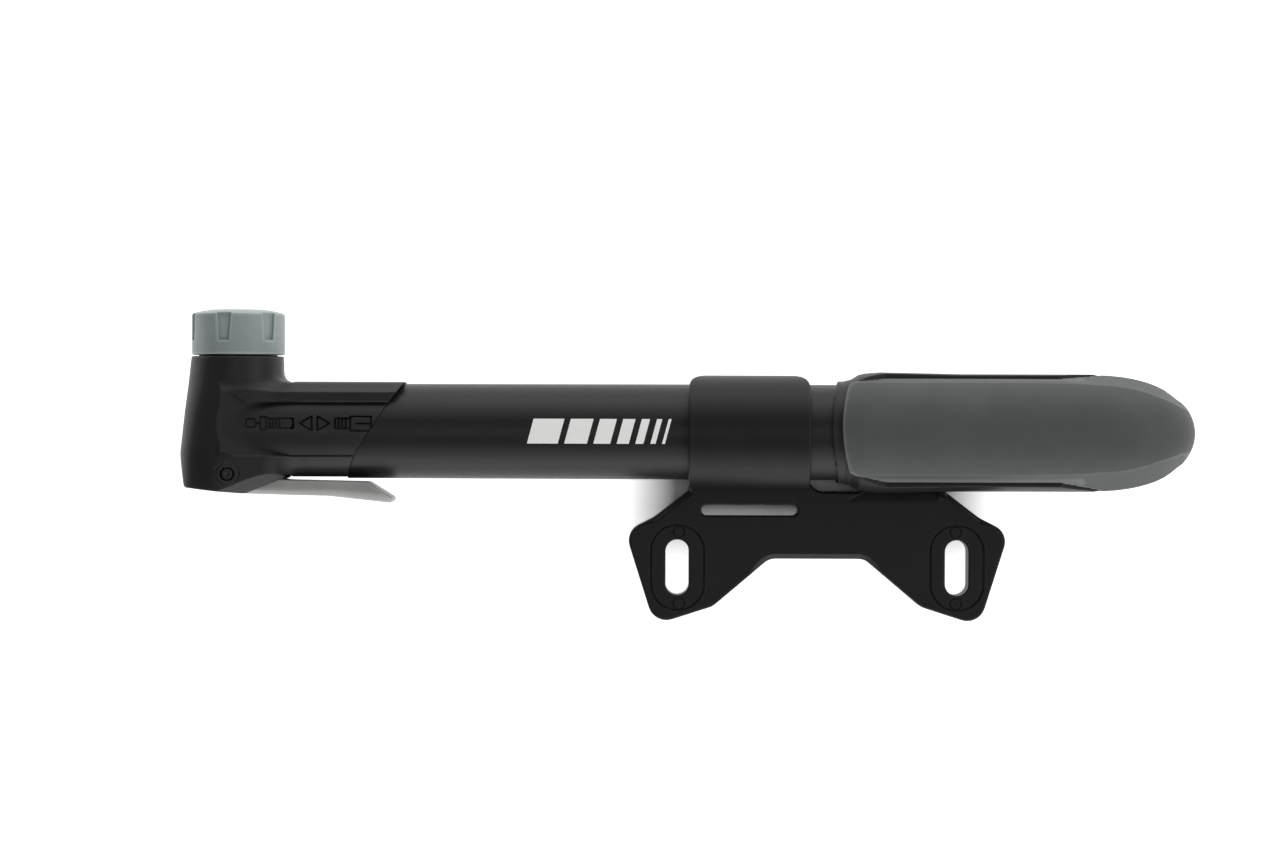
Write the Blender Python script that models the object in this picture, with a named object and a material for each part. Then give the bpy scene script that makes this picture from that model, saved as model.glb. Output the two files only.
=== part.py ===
"""Mini bicycle pump with its frame bracket, as separate pieces.

The design is drawn in millimetres in the pump's own frame: X runs along the barrel from the
valve head to the handle's nose, Y points out of the valve mouth, Z is the side that faces up
when the pump lies down. The origin of that frame is where the barrel's axis meets the chuck's
axis. One empty carries it to the row frame, whose origin is under the middle of the object.
"""

import math

import bmesh
import bpy
from mathutils import Matrix, Vector

MM = 0.001

# ---- driving dimensions, millimetres ------------------------------------------------------
GAP = 0.3                      # clearance between pieces that touch

BARREL_R = 10.8
BARREL_BORE_R = 8.0
BARREL_START_X = 13.6
BARREL_END_X = 189.0
GUIDE_START_X = 181.0          # plug in the barrel's rear end
GUIDE_END_X = 191.4
SPIGOT_R = 9.6                 # the barrel's end inside the head's sleeve

SLEEVE_R = 11.0
SOCKET_START_X = 13.2
COLUMN_TOP_Y = 16.9
NECK_R = 8.9
NECK_TOP_Y = 24.0
CHUCK_BORE_R = 7.0
CHEEK_HALF_Z = 12.0
HEAD_LEFT_X = -12.9
SLOT_HALF_Z = 7.8              # half the width of the lever's slot

CAP_R = 10.55
CAP_BOTTOM_Y = 17.25
CAP_TOP_Y = 27.5
CAP_INNER_R = 9.2
CAP_CEILING_Y = 25.3
VALVE_HOLE_R = 4.6
CAP_NOTCHES = 6
CAP_NOTCH_TURN = math.radians(47.0)

PIN_X = -1.35                  # lever pin
PIN_Y = -9.8
PIN_R = 1.5
CAM_LOW = 3.0                  # cam height with the lever folded
CAM_RISE = 2.5                 # plunger travel in a quarter turn
LEVER_HALF_Z = 7.4

PLUNGER_R = 6.7
PLUNGER_TOP_Y = 12.7
GALLERY_Y = 2.5                # height of the air passage above the barrel's axis

PISTON_R = 7.5
ROD_R = 3.0
ROD_START_X = 20.5
ROD_END_X = 197.5

LIP_X = 134.9                  # front edge of the handle
CORE_BORE_R = 11.15
CORE_R = 11.95
CORE_FLOOR_X = 192.5
CORE_END_X = 197.5
GRIP_R = 13.45
RAIL_R = 13.4
RAIL_BULGE_R = 13.75
RAIL_HALF_Z = 4.1
NOSE_END_X = 218.2
HANDLE_TURN = math.radians(-6.5)

CLIP_START_X = 102.7
CLIP_END_X = 129.9
CLIP_INNER_R = 11.1
CLIP_OUTER_R = 12.9
CLIP_WRAP = math.radians(104.0)

PLATE_CENTER_X = 132.25
PLATE_FRONT_Z = -3.0
PLATE_BACK_Z = -7.0
BOLT_PITCH = 64.0              # bottle cage bosses
EAR_SLOT_Y = -31.0
EAR_SLOT_SIZE = (5.25, 12.65)
STRAP_SLOT = (116.85, -17.9)
STRAP_SLOT_SIZE = (22.2, 2.55)
PLATE_BOTTOM_Y = -43.25
TONGUE_START_X = 157.55
TONGUE_END_X = 161.75

# The row frame's origin is under the middle of the whole object.
OFFSET = Vector((
    -(HEAD_LEFT_X + NOSE_END_X) / 2,
    -(CAP_TOP_Y + PLATE_BOTTOM_Y) / 2,
    GRIP_R,
))


# ---- modelling helpers --------------------------------------------------------------------
def clear_scene():
    for old in list(bpy.data.objects):
        bpy.data.objects.remove(old, do_unlink=True)


def make_material(name, color, roughness, metallic=0.0):
    material = bpy.data.materials.new(name)
    material.use_nodes = True
    shader = material.node_tree.nodes["Principled BSDF"]
    shader.inputs["Base Color"].default_value = (*color, 1.0)
    shader.inputs["Roughness"].default_value = roughness
    shader.inputs["Metallic"].default_value = metallic
    return material


def make_empty(name, parent=None, location=(0, 0, 0), turn_x=0.0):
    empty = bpy.data.objects.new(name, None)
    bpy.context.collection.objects.link(empty)
    empty.parent = parent
    empty.location = Vector(location) * MM
    empty.rotation_euler = (turn_x, 0, 0)
    return empty


def make_object(name, bm, parent, material=None, origin=(0, 0, 0), smooth=True):
    """Turns a bmesh drawn in millimetres into an object whose origin is at origin."""
    bmesh.ops.translate(bm, verts=bm.verts, vec=-Vector(origin))
    bmesh.ops.scale(bm, verts=bm.verts, vec=(MM, MM, MM))
    bmesh.ops.recalc_face_normals(bm, faces=bm.faces)
    mesh = bpy.data.meshes.new(name)
    bm.to_mesh(mesh)
    bm.free()
    thing = bpy.data.objects.new(name, mesh)
    bpy.context.collection.objects.link(thing)
    thing.parent = parent
    thing.location = Vector(origin) * MM
    if smooth:
        mesh.shade_smooth()
        mesh.set_sharp_from_angle(angle=math.radians(35))
    if material:
        mesh.materials.append(material)
    return thing


def placed(axis, along, u, v):
    """A point at along on the given axis, and at u, v across it."""
    if axis == "X":
        return Vector((along, u, v))
    if axis == "Y":
        return Vector((v, along, u))
    return Vector((u, v, along))


def lathe(profile, axis, steps=32, center=(0, 0), closed=False):
    """Turns a profile of (along, radius) points about an axis. A closed profile makes a ring."""
    bm = bmesh.new()
    rings = []
    for along, radius in profile:
        if radius == 0:
            rings.append([bm.verts.new(placed(axis, along, *center))])
            continue
        ring = []
        for i in range(steps):
            angle = math.tau * i / steps
            u = center[0] + radius * math.cos(angle)
            v = center[1] + radius * math.sin(angle)
            ring.append(bm.verts.new(placed(axis, along, u, v)))
        rings.append(ring)
    pairs = list(zip(rings, rings[1:]))
    if closed:
        pairs.append((rings[-1], rings[0]))
    for one, two in pairs:
        for i in range(steps):
            j = (i + 1) % steps
            corners = [one[i % len(one)], one[j % len(one)], two[j % len(two)], two[i % len(two)]]
            bm.faces.new(list(dict.fromkeys(corners)))
    return bm


def cylinder(axis, start, end, radius, steps=24, center=(0, 0)):
    return lathe([(start, 0), (start, radius), (end, radius), (end, 0)], axis, steps, center)


def tube(axis, start, end, inner, outer, steps=32, center=(0, 0)):
    profile = [(start, inner), (start, outer), (end, outer), (end, inner)]
    return lathe(profile, axis, steps, center, closed=True)


def torus(axis, along, ring_radius, wire_radius, steps=28, sides=8, center=(0, 0)):
    profile = []
    for i in range(sides):
        angle = math.tau * i / sides
        point = (along + wire_radius * math.cos(angle), ring_radius + wire_radius * math.sin(angle))
        profile.append(point)
    return lathe(profile, axis, steps, center, closed=True)


def prism(outline, low, high, axis="Z"):
    """Extrudes a flat outline of (u, v) points along an axis, from low to high."""
    bm = bmesh.new()
    bottom = [bm.verts.new(placed(axis, low, u, v)) for u, v in outline]
    face = bm.faces.new(bottom)
    lifted = bmesh.ops.extrude_face_region(bm, geom=[face])["geom"]
    moved = [item for item in lifted if isinstance(item, bmesh.types.BMVert)]
    bmesh.ops.translate(bm, verts=moved, vec=placed(axis, high - low, 0, 0))
    return bm


def box(low, high):
    bm = bmesh.new()
    bmesh.ops.create_cube(bm, size=1.0)
    size = Vector(high) - Vector(low)
    bmesh.ops.scale(bm, verts=bm.verts, vec=size)
    bmesh.ops.translate(bm, verts=bm.verts, vec=(Vector(low) + Vector(high)) / 2)
    return bm


def loft(rings):
    """Joins rings of the same number of points and caps both ends."""
    bm = bmesh.new()
    made = [[bm.verts.new(point) for point in ring] for ring in rings]
    count = len(rings[0])
    for one, two in zip(made, made[1:]):
        for i in range(count):
            j = (i + 1) % count
            bm.faces.new([one[i], one[j], two[j], two[i]])
    bm.faces.new(made[0])
    bm.faces.new(made[-1])
    return bm


def rounded(corners, steps=5):
    """An outline with its corners rounded. Each corner is (x, y, radius)."""
    outline = []
    count = len(corners)
    for i, (x, y, radius) in enumerate(corners):
        here = Vector((x, y))
        before = Vector(corners[i - 1][:2]) - here
        after = Vector(corners[(i + 1) % count][:2]) - here
        if radius == 0:
            outline.append((x, y))
            continue
        before.normalize()
        after.normalize()
        half = before.angle(after) / 2
        center = here + (before + after).normalized() * (radius / math.sin(half))
        start = here + before * (radius / math.tan(half)) - center
        sweep = start.angle_signed(here + after * (radius / math.tan(half)) - center)
        for k in range(steps + 1):
            turn = Matrix.Rotation(-sweep * k / steps, 2)
            outline.append(tuple(center + turn @ start))
    return outline


def racetrack(center, size, grow=0.0, steps=8):
    """A slot's outline with round ends, longer along X or Y as size says."""
    width = size[0] / 2 + grow
    height = size[1] / 2 + grow
    radius = min(width, height)
    corners = [(-width, -height), (width, -height), (width, height), (-width, height)]
    shape = [(center[0] + x, center[1] + y, radius * 0.999) for x, y in corners]
    return rounded(shape, steps // 2)


def combine(target, operation, other):
    """Joins or cuts one object with another by an exact Boolean. The other stays hidden."""
    other.hide_render = True
    other.display_type = "WIRE"
    change = target.modifiers.new(other.name, "BOOLEAN")
    change.operation = operation
    change.solver = "EXACT"
    change.object = other


def cut(target, bm, name, parent):
    combine(target, "DIFFERENCE", make_object(name, bm, parent, smooth=False))


def add(target, bm, name, parent):
    combine(target, "UNION", make_object(name, bm, parent, smooth=False))


def keep(target, bm, name, parent):
    combine(target, "INTERSECT", make_object(name, bm, parent, smooth=False))


# ---- shared outlines ----------------------------------------------------------------------
def sleeve_end(offset=0.0):
    """The slanted end of the head's sleeve, from below the barrel to above it."""
    line = [(24.3, -14.0), (25.1, -9.9), (27.5, -4.4), (35.0, 7.3), (38.4, 11.0), (40.2, 13.0)]
    return [(x + offset, y) for x, y in line]


def head_side():
    """The head's outline seen from the side of the pump."""
    sleeve = sleeve_end()[1:-1]
    corners = [
        (-10.7, COLUMN_TOP_Y, 0),
        (-11.3, 11.4, 20),
        (-12.9, -4.8, 6),
        (-11.4, -12.9, 0.9),
        (-4.0, -13.8, 0),
        (3.2, -14.4, 0),
        (12.3, -10.4, 0),
        (24.85, -10.4, 0),
        *[(x, y, 0) for x, y in sleeve],
        (38.4, 12.0, 0),
        (13.8, 12.0, 0),
        (12.95, 11.0, 0),
        (10.55, 11.0, 2.4),
        (10.45, COLUMN_TOP_Y, 0),
    ]
    return rounded(corners)


def cam_point(angle):
    """A point of the cam whose height grows evenly with the lever's turn."""
    slope = CAM_RISE / (math.pi / 2)
    height = CAM_LOW + slope * (angle - math.pi / 2)
    x = PIN_X + height * math.cos(angle) - slope * math.sin(angle)
    y = PIN_Y + height * math.sin(angle) + slope * math.cos(angle)
    return (x, y)


def lever_side():
    """The lever's outline seen along its pin: a cam round the pin, and the thumb arm."""
    outline = [cam_point(math.radians(angle)) for angle in range(90, 181, 10)]
    for angle in range(210, 271, 15):
        turn = math.radians(angle)
        outline.append((PIN_X + 3.2 * math.cos(turn), PIN_Y + 3.2 * math.sin(turn)))
    arm = [
        (2.6, -14.4),
        (20.9, -14.9),
        (34.8, -16.45),
        (35.7, -16.2),
        (36.0, -15.5),
        (29.9, -11.55),
        (12.0, -11.2),
        (5.0, -10.3),
        (PIN_X + 1.8, PIN_Y + CAM_LOW),
    ]
    return outline + arm


def rail_side(grow=0.0):
    """The outline of the handle's side rail, along X and Z: a wide front and a pointed rear end."""
    upper = [
        (138.2 - grow, 8.6 + grow),
        (147.5, RAIL_HALF_Z + 0.2 + grow),
        (187.0 + grow, RAIL_HALF_Z + grow),
        (196.5 + grow * 2, 0.5 + grow),
    ]
    return upper + [(x, -z) for x, z in reversed(upper)]


def arc_edge(front_x, side_x, side_y, beyond):
    """An edge that bows forward at the middle: a region in front of it, in X and Y."""
    edge = []
    for i in range(-6, 7):
        y = side_y * i / 5
        edge.append((front_x + (side_x - front_x) * (y / side_y) ** 2, y))
    return [(beyond, edge[0][1]), *edge, (beyond, edge[-1][1])]


def plate_side():
    """The bone-shaped plate seen from the front, with the clip's root and the tongue's root."""
    ear = [(29.4, -13.6, 0), (37.3, -19.55, 8), (43.97, -22.89, 4), (37.2, -44.25, 4.2),
           (23.83, -39.95, 5), (10.9, -29.0, 4)]
    right = [(PLATE_CENTER_X + x, y, radius) for x, y, radius in ear[1:]]
    left = [(PLATE_CENTER_X - x, y, radius) for x, y, radius in reversed(ear[1:])]
    neck_left = PLATE_CENTER_X - 29.5
    window = [
        (neck_left, -13.4, 0),
        (neck_left, -7.5, 0),
        (CLIP_END_X, -7.5, 0),
        (CLIP_END_X, -13.6, 3.7),
        (TONGUE_END_X, -13.6, 0),
    ]
    return rounded(window + right + left)


# ---- pieces of the head -------------------------------------------------------------------
def superellipse(y, left, right, half_z, power, count=28):
    center = (left + right) / 2
    half_x = (right - left) / 2
    ring = []
    for i in range(count):
        angle = math.tau * i / count
        c = math.cos(angle)
        s = math.sin(angle)
        x = center + half_x * math.copysign(abs(c) ** (2 / power), c)
        z = half_z * math.copysign(abs(s) ** (2 / power), s)
        ring.append(Vector((x, y, z)))
    return ring


def build_head_body(parent, material):
    column = loft([
        superellipse(COLUMN_TOP_Y, -10.7, 10.45, 10.5, 2.0),
        superellipse(11.0, -11.3, 10.6, 10.9, 2.1),
        superellipse(4.0, -12.1, 12.3, 11.7, 2.6),
        superellipse(-5.0, -12.9, 12.7, CHEEK_HALF_Z, 3.0),
        superellipse(-17.0, -12.9, 12.9, CHEEK_HALF_Z, 3.2),
    ])
    head = make_object("head_body", column, parent, material)
    add(head, cylinder("X", 0.5, 41.0, SLEEVE_R, 40), "sleeve_add", parent)
    add(head, box((7.0, 6.0, -4.5), (13.6, 14.5, 4.5)), "corner_web", parent)
    keep(head, prism(head_side(), -20, 20), "side_outline", parent)
    for side in (1, -1):
        low, high = sorted((side * 10.6, side * 16.0))
        panel = rounded([(-4.4, 8.8, 1.2), (-5.7, -5.7, 1.6), (50.0, -5.7, 0), (50.0, 8.8, 0)])
        cut(head, prism(panel, low, high), f"side_panel_{side + 1}", parent)
    add(head, cylinder("Y", COLUMN_TOP_Y - 3, NECK_TOP_Y, NECK_R, 32), "neck_add", parent)
    cut(head, cylinder("Y", -8.0, 30.0, CHUCK_BORE_R, 32), "chuck_bore", parent)
    cut(head, cylinder("X", SOCKET_START_X, 50.0, SPIGOT_R + GAP, 40), "barrel_socket", parent)
    at_gallery = (GALLERY_Y, 0)
    cut(head, cylinder("X", 11.1, 14.5, 5.0, 20, at_gallery), "seat_pocket", parent)
    cut(head, cylinder("X", 8.2, 12.0, 3.0, 16, at_gallery), "valve_chamber", parent)
    cut(head, cylinder("X", 5.0, 9.0, 1.4, 12, at_gallery), "air_passage", parent)
    slot = [(-9.3, -20.0), (-9.3, -4.2), (4.0, -4.2), (7.6, -9.0), (12.6, -10.2), (14.5, -20.0)]
    cut(head, prism(slot, -SLOT_HALF_Z, SLOT_HALF_Z), "lever_slot", parent)
    cut(head, cylinder("Z", -16, 16, PIN_R + GAP, 20, (PIN_X, PIN_Y)), "pin_hole", parent)
    return head


def build_chuck_cap(parent, material):
    profile = [
        (CAP_BOTTOM_Y, CAP_INNER_R),
        (CAP_BOTTOM_Y, CAP_R - 0.15),
        (CAP_BOTTOM_Y + 0.4, CAP_R),
        (CAP_TOP_Y - 1.1, CAP_R),
        (CAP_TOP_Y - 0.6, CAP_R - 0.7),
        (CAP_TOP_Y, CAP_R - 3.4),
        (CAP_TOP_Y, VALVE_HOLE_R + 0.5),
        (CAP_TOP_Y - 0.5, VALVE_HOLE_R),
        (CAP_CEILING_Y, VALVE_HOLE_R),
        (CAP_CEILING_Y, CAP_INNER_R),
    ]
    cap = make_object("chuck_cap", lathe(profile, "Y", 48, closed=True), parent, material)
    for i in range(CAP_NOTCHES):
        notch = prism([(-1.25, 20.6), (1.25, 20.6), (1.85, 28.5), (-1.85, 28.5)], CAP_R - 0.8, CAP_R + 2)
        turn = CAP_NOTCH_TURN + math.tau * i / CAP_NOTCHES
        bmesh.ops.rotate(notch, verts=notch.verts, matrix=Matrix.Rotation(turn, 3, "Y"))
        cut(cap, notch, f"grip_notch_{i}", parent)
    return cap


def build_lock_lever(parent, material):
    blank = prism(lever_side(), -LEVER_HALF_Z, LEVER_HALF_Z)
    lever = make_object("lock_lever", blank, parent, material, (PIN_X, PIN_Y, 0), smooth=False)
    cut(lever, cylinder("Z", -16, 16, PIN_R + GAP, 20, (PIN_X, PIN_Y)), "lever_bore", parent)
    return lever


def build_plunger(parent, material):
    foot_y = PIN_Y + CAM_LOW + GAP
    profile = [
        (foot_y, 0),
        (foot_y, PLUNGER_R - 0.4),
        (foot_y + 0.4, PLUNGER_R),
        (-3.7, PLUNGER_R),
        (-3.7, 5.4),
        (-1.7, 5.4),
        (-1.7, PLUNGER_R),
        (GALLERY_Y - 2, PLUNGER_R),
        (GALLERY_Y - 2, 5.4),
        (GALLERY_Y + 2, 5.4),
        (GALLERY_Y + 2, PLUNGER_R),
        (PLUNGER_TOP_Y, PLUNGER_R),
        (PLUNGER_TOP_Y, 4.0),
        (PLUNGER_TOP_Y - 1.2, 4.0),
        (PLUNGER_TOP_Y - 1.2, 0),
    ]
    plunger = make_object("plunger", lathe(profile, "Y", 28), parent, material)
    cut(plunger, cylinder("Y", 1.5, 20.0, 1.6, 14), "plunger_bore", parent)
    cut(plunger, cylinder("X", -12.0, 12.0, 1.2, 12, (GALLERY_Y, 0)), "plunger_cross_hole", parent)
    return plunger


def build_valve_pin(parent, material):
    star = []
    for i in range(12):
        radius = 3.6 if i % 4 < 2 else 1.9
        star.append((radius * math.cos(math.tau * i / 12), radius * math.sin(math.tau * i / 12)))
    foot = prism(star, PLUNGER_TOP_Y - 0.9, PLUNGER_TOP_Y - 0.2, "Y")
    pin = make_object("valve_pin", foot, parent, material, smooth=False)
    stem = lathe([(8.5, 0), (8.5, 1.0), (18.4, 1.0), (19.0, 0.5), (19.0, 0)], "Y", 12)
    add(pin, stem, "valve_pin_stem", parent)
    return pin


def build_check_valve_spring(parent, material):
    """A short open helix of round wire between the chamber's end and the poppet."""
    turns = 1.5
    steps_per_turn = 12
    wire_r = 0.16
    coil_r = 1.9
    start_x = 8.5
    end_x = 9.75
    sides = 6
    bm = bmesh.new()
    rings = []
    total = int(turns * steps_per_turn)
    for i in range(total + 1):
        angle = math.tau * i / steps_per_turn
        x = start_x + (end_x - start_x) * i / total
        out = Vector((0, math.cos(angle), math.sin(angle)))
        center = Vector((x, GALLERY_Y, 0)) + out * coil_r
        ring = []
        for k in range(sides):
            turn = math.tau * k / sides
            offset = out * math.cos(turn) + Vector((1, 0, 0)) * math.sin(turn)
            ring.append(bm.verts.new(center + offset * wire_r))
        rings.append(ring)
    for one, two in zip(rings, rings[1:]):
        for k in range(sides):
            j = (k + 1) % sides
            bm.faces.new([one[k], one[j], two[j], two[k]])
    bm.faces.new(rings[0])
    bm.faces.new(rings[-1])
    return make_object("check_valve_spring", bm, parent, material)


def build_head_inside(parent, materials):
    at_gallery = (GALLERY_Y, 0)
    washer = tube("Y", NECK_TOP_Y + GAP, CAP_CEILING_Y - GAP, VALVE_HOLE_R, 8.8, 28)
    make_object("slip_washer", washer, parent, materials["white_nylon"])
    grommet = [
        (PLUNGER_TOP_Y + GAP, 3.9),
        (PLUNGER_TOP_Y + GAP, PLUNGER_R),
        (NECK_TOP_Y, PLUNGER_R),
        (NECK_TOP_Y, 4.9),
        (NECK_TOP_Y - 1.5, 3.9),
    ]
    make_object("valve_grommet", lathe(grommet, "Y", 28, closed=True), parent, materials["rubber"])
    build_plunger(parent, materials["white_nylon"])
    o_ring = torus("Y", -2.7, 6.2, 0.45)
    make_object("plunger_o_ring", o_ring, parent, materials["rubber"])
    build_valve_pin(parent, materials["steel"])
    seat = tube("X", 11.4, 12.9, 1.4, 4.7, 20, at_gallery)
    make_object("check_valve_seat", seat, parent, materials["white_nylon"])
    poppet = [(8.9, 0), (8.9, 0.8), (10.2, 0.8), (10.2, 2.4), (11.1, 2.4), (11.1, 0)]
    make_object("check_valve_poppet", lathe(poppet, "X", 16, at_gallery), parent, materials["rubber"])
    build_check_valve_spring(parent, materials["steel"])
    pin = cylinder("Z", -11.6, 11.6, PIN_R, 20, (PIN_X, PIN_Y))
    make_object("lever_pin", pin, parent, materials["steel"], (PIN_X, PIN_Y, 0))


# ---- barrel and pumping parts -------------------------------------------------------------
def build_barrel(parent, material):
    body = tube("X", BARREL_START_X, BARREL_END_X, BARREL_BORE_R, BARREL_R, 48)
    barrel = make_object("barrel", body, parent, material)
    before_shoulder = [(5.0, -14.0), *sleeve_end(GAP), (5.0, 13.0)]
    step = make_object("spigot_step", prism(before_shoulder, -15, 15), parent, smooth=False)
    cut(step, cylinder("X", 0.0, 60.0, SPIGOT_R, 48), "spigot_core", parent)
    combine(barrel, "DIFFERENCE", step)
    cut(barrel, tube("X", 16.0, 18.0, 8.8, 10.4, 40), "o_ring_groove", parent)
    return barrel


def build_pumping_parts(body, slide, materials):
    o_ring = torus("X", 17.0, 9.4, 0.38, 32)
    make_object("barrel_o_ring", o_ring, body, materials["rubber"])
    guide = [
        (GUIDE_START_X, ROD_R + GAP),
        (GUIDE_START_X, BARREL_BORE_R - GAP),
        (BARREL_END_X + GAP, BARREL_BORE_R - GAP),
        (BARREL_END_X + GAP, BARREL_R - 0.1),
        (GUIDE_END_X, BARREL_R - 0.1),
        (GUIDE_END_X, ROD_R + GAP),
    ]
    make_object("rod_guide", lathe(guide, "X", 32, closed=True), body, materials["black_plastic"])
    bumper = tube("X", GUIDE_START_X - GAP - 2.5, GUIDE_START_X - GAP, ROD_R + GAP, 7.4, 28)
    make_object("stroke_bumper", bumper, body, materials["rubber"])

    rod = [
        (ROD_START_X, 0),
        (ROD_START_X, ROD_R),
        (ROD_END_X, ROD_R),
        (ROD_END_X, 1.55),
        (ROD_END_X - 10.0, 1.55),
        (ROD_END_X - 10.0, 0),
    ]
    make_object("piston_rod", lathe(rod, "X", 24), slide, materials["steel"])
    piston = [
        (15.2, 0),
        (15.2, PISTON_R - 0.4),
        (15.6, PISTON_R),
        (17.6, PISTON_R),
        (17.6, 5.9),
        (20.2, 5.9),
        (20.2, PISTON_R),
        (24.0, PISTON_R),
        (24.0, ROD_R + GAP),
        (ROD_START_X - GAP, ROD_R + GAP),
        (ROD_START_X - GAP, 0),
    ]
    make_object("piston_head", lathe(piston, "X", 32), slide, materials["white_nylon"])
    cup = [(17.9, 6.2), (17.9, 7.8), (19.2, 7.6), (19.9, 7.4), (19.9, 6.2)]
    make_object("piston_cup", lathe(cup, "X", 32, closed=True), slide, materials["rubber"])
    hexagon = math.cos(math.pi / 6)
    nut = tube("X", 24.3, 27.3, (ROD_R + GAP) / hexagon, 5.0 / hexagon, 6)
    make_object("piston_retainer", nut, slide, materials["steel"], smooth=False)


# ---- handle -------------------------------------------------------------------------------
def build_handle_core(parent, material):
    shell = [
        (130.0, CORE_BORE_R),
        (130.0, CORE_R - 0.3),
        (138.2, CORE_R - 0.3),
        (139.0, CORE_R),
        (CORE_FLOOR_X - 0.5, CORE_R),
        (CORE_END_X, 10.6),
        (CORE_END_X, ROD_R + GAP),
        (CORE_FLOOR_X, ROD_R + GAP),
        (CORE_FLOOR_X, CORE_BORE_R),
    ]
    core = make_object("handle_core", lathe(shell, "X", 44, closed=True), parent, material)
    rail = [
        (138.0, 11.5),
        (138.0, 12.0),
        (141.2, 13.0),
        (145.0, RAIL_BULGE_R),
        (165.0, RAIL_R),
        (192.0, RAIL_R),
        (198.0, 12.9),
        (198.0, 11.5),
    ]
    rails = make_object("rails", lathe(rail, "X", 44, closed=True), parent, smooth=False)
    blank = prism([(z, x) for x, z in rail_side()], -20, 20, "Y")
    keep(rails, blank, "rail_outline", parent)
    combine(core, "UNION", rails)
    cut(core, prism(arc_edge(LIP_X, 136.65, 11.65, 120.0), -20, 20), "lip_edge", parent)
    return core


def grip_section(x, side, edge_y, half_y, crown_z):
    """One cross-section of the grip: crowned front and back panels, bevels and sides.

    side goes from 0, where the rails fill the sides, to 1, at the nose.
    """
    scale = crown_z / GRIP_R
    edge_z = 8.67 * scale
    bevel = (edge_y + (1.47 + 0.9 * side) * half_y / RAIL_R, (4.43 - 0.6 * side) * scale)
    flank = 11.9 + (half_y - 11.9) * side if half_y > 11.9 else half_y
    flank = max(flank, bevel[0])
    quarter = []
    for i in range(5):
        y = edge_y * i / 4
        z = crown_z - (crown_z - edge_z) * (i / 4) ** 2
        quarter.append((y, z))
    quarter.append(bevel)
    quarter.append((flank, 0.0))
    upper = quarter + [(y, -z) for y, z in reversed(quarter[:-1])]
    ring = upper + [(-y, z) for y, z in reversed(upper[1:-1])]
    return [Vector((x, y, z)) for y, z in ring]


def build_handle_grip(parent, material):
    stations = [
        (134.0, 0, 10.43, 12.0, 12.85),
        (139.0, 0, 10.43, 12.0, 13.15),
        (145.0, 0, 10.43, 12.0, GRIP_R),
        (180.0, 0, 10.43, 12.0, GRIP_R),
        (188.0, 0.7, 10.3, 13.2, GRIP_R),
        (194.0, 1, 10.1, RAIL_R, 13.4),
        (199.0, 1, 9.6, 13.3, 13.1),
        (204.0, 1, 8.6, 12.8, 12.2),
        (208.5, 1, 7.5, 11.5, 10.6),
        (212.5, 1, 6.3, 9.2, 8.2),
        (215.5, 1, 4.8, 6.6, 5.6),
        (217.4, 1, 3.2, 4.4, 3.4),
        (NOSE_END_X, 1, 1.6, 2.4, 1.6),
    ]
    grip = make_object("handle_grip", loft([grip_section(*s) for s in stations]), parent, material)
    space = [
        (125.0, 0),
        (125.0, CORE_R + 0.25),
        (CORE_FLOOR_X - 0.4, CORE_R + 0.25),
        (CORE_END_X + GAP, 10.85),
        (CORE_END_X + GAP, 5.8),
        (ROD_END_X + 4.2, 5.8),
        (ROD_END_X + 4.2, 0),
    ]
    cut(grip, lathe(space, "X", 44), "core_space", parent)
    cut(grip, prism([(z, x) for x, z in rail_side(GAP)], -20, 20, "Y"), "rail_space", parent)
    cut(grip, prism(arc_edge(137.2, 139.0, 10.4, 120.0), -20, 20), "grip_edge", parent)
    return grip


def build_rod_end(parent, materials):
    washer_start = ROD_END_X + GAP
    washer = tube("X", washer_start, washer_start + 0.8, 1.6, 5.0, 20)
    make_object("rod_washer", washer, parent, materials["steel"])
    tip = ROD_END_X - 9.0
    head = washer_start + 0.8 + GAP
    screw = [
        (tip, 0),
        (tip, 1.25),
        (head, 1.25),
        (head, 3.4),
        (head + 1.5, 3.4),
        (head + 2.2, 2.4),
        (head + 2.2, 0),
    ]
    make_object("rod_screw", lathe(screw, "X", 16), parent, materials["steel"])


# ---- frame bracket ------------------------------------------------------------------------
def clip_band():
    """The clip's band round the barrel. Its free end narrows in a round tongue."""
    corner_start = math.radians(52.0)
    corner_r = 11.6
    rings = []
    count = 28
    for i in range(count + 1):
        angle = -CLIP_WRAP + 2 * CLIP_WRAP * i / count
        arc = min(max(0.0, (angle - corner_start) * CLIP_OUTER_R), corner_r * 0.94)
        inset = corner_r - math.sqrt(corner_r ** 2 - arc ** 2)
        left = CLIP_START_X + inset
        right = CLIP_END_X - inset
        out = Vector((0, math.sin(angle), math.cos(angle)))
        inner = out * CLIP_INNER_R
        outer = out * CLIP_OUTER_R
        ring = [
            inner + Vector((left, 0, 0)),
            inner + Vector((right, 0, 0)),
            outer + Vector((right, 0, 0)),
            outer + Vector((left, 0, 0)),
        ]
        rings.append(ring)
    return loft(rings)


def tongue_section():
    """The tongue that reaches from the plate behind the handle, in Y and Z."""
    inner_r = 14.1
    outer_r = 16.0
    inner = []
    outer = []
    for degrees in range(-97, -142, -6):
        angle = math.radians(degrees)
        inner.append((inner_r * math.sin(angle), inner_r * math.cos(angle)))
        outer.append((outer_r * math.sin(angle), outer_r * math.cos(angle)))
    return inner + outer[::-1]


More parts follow.
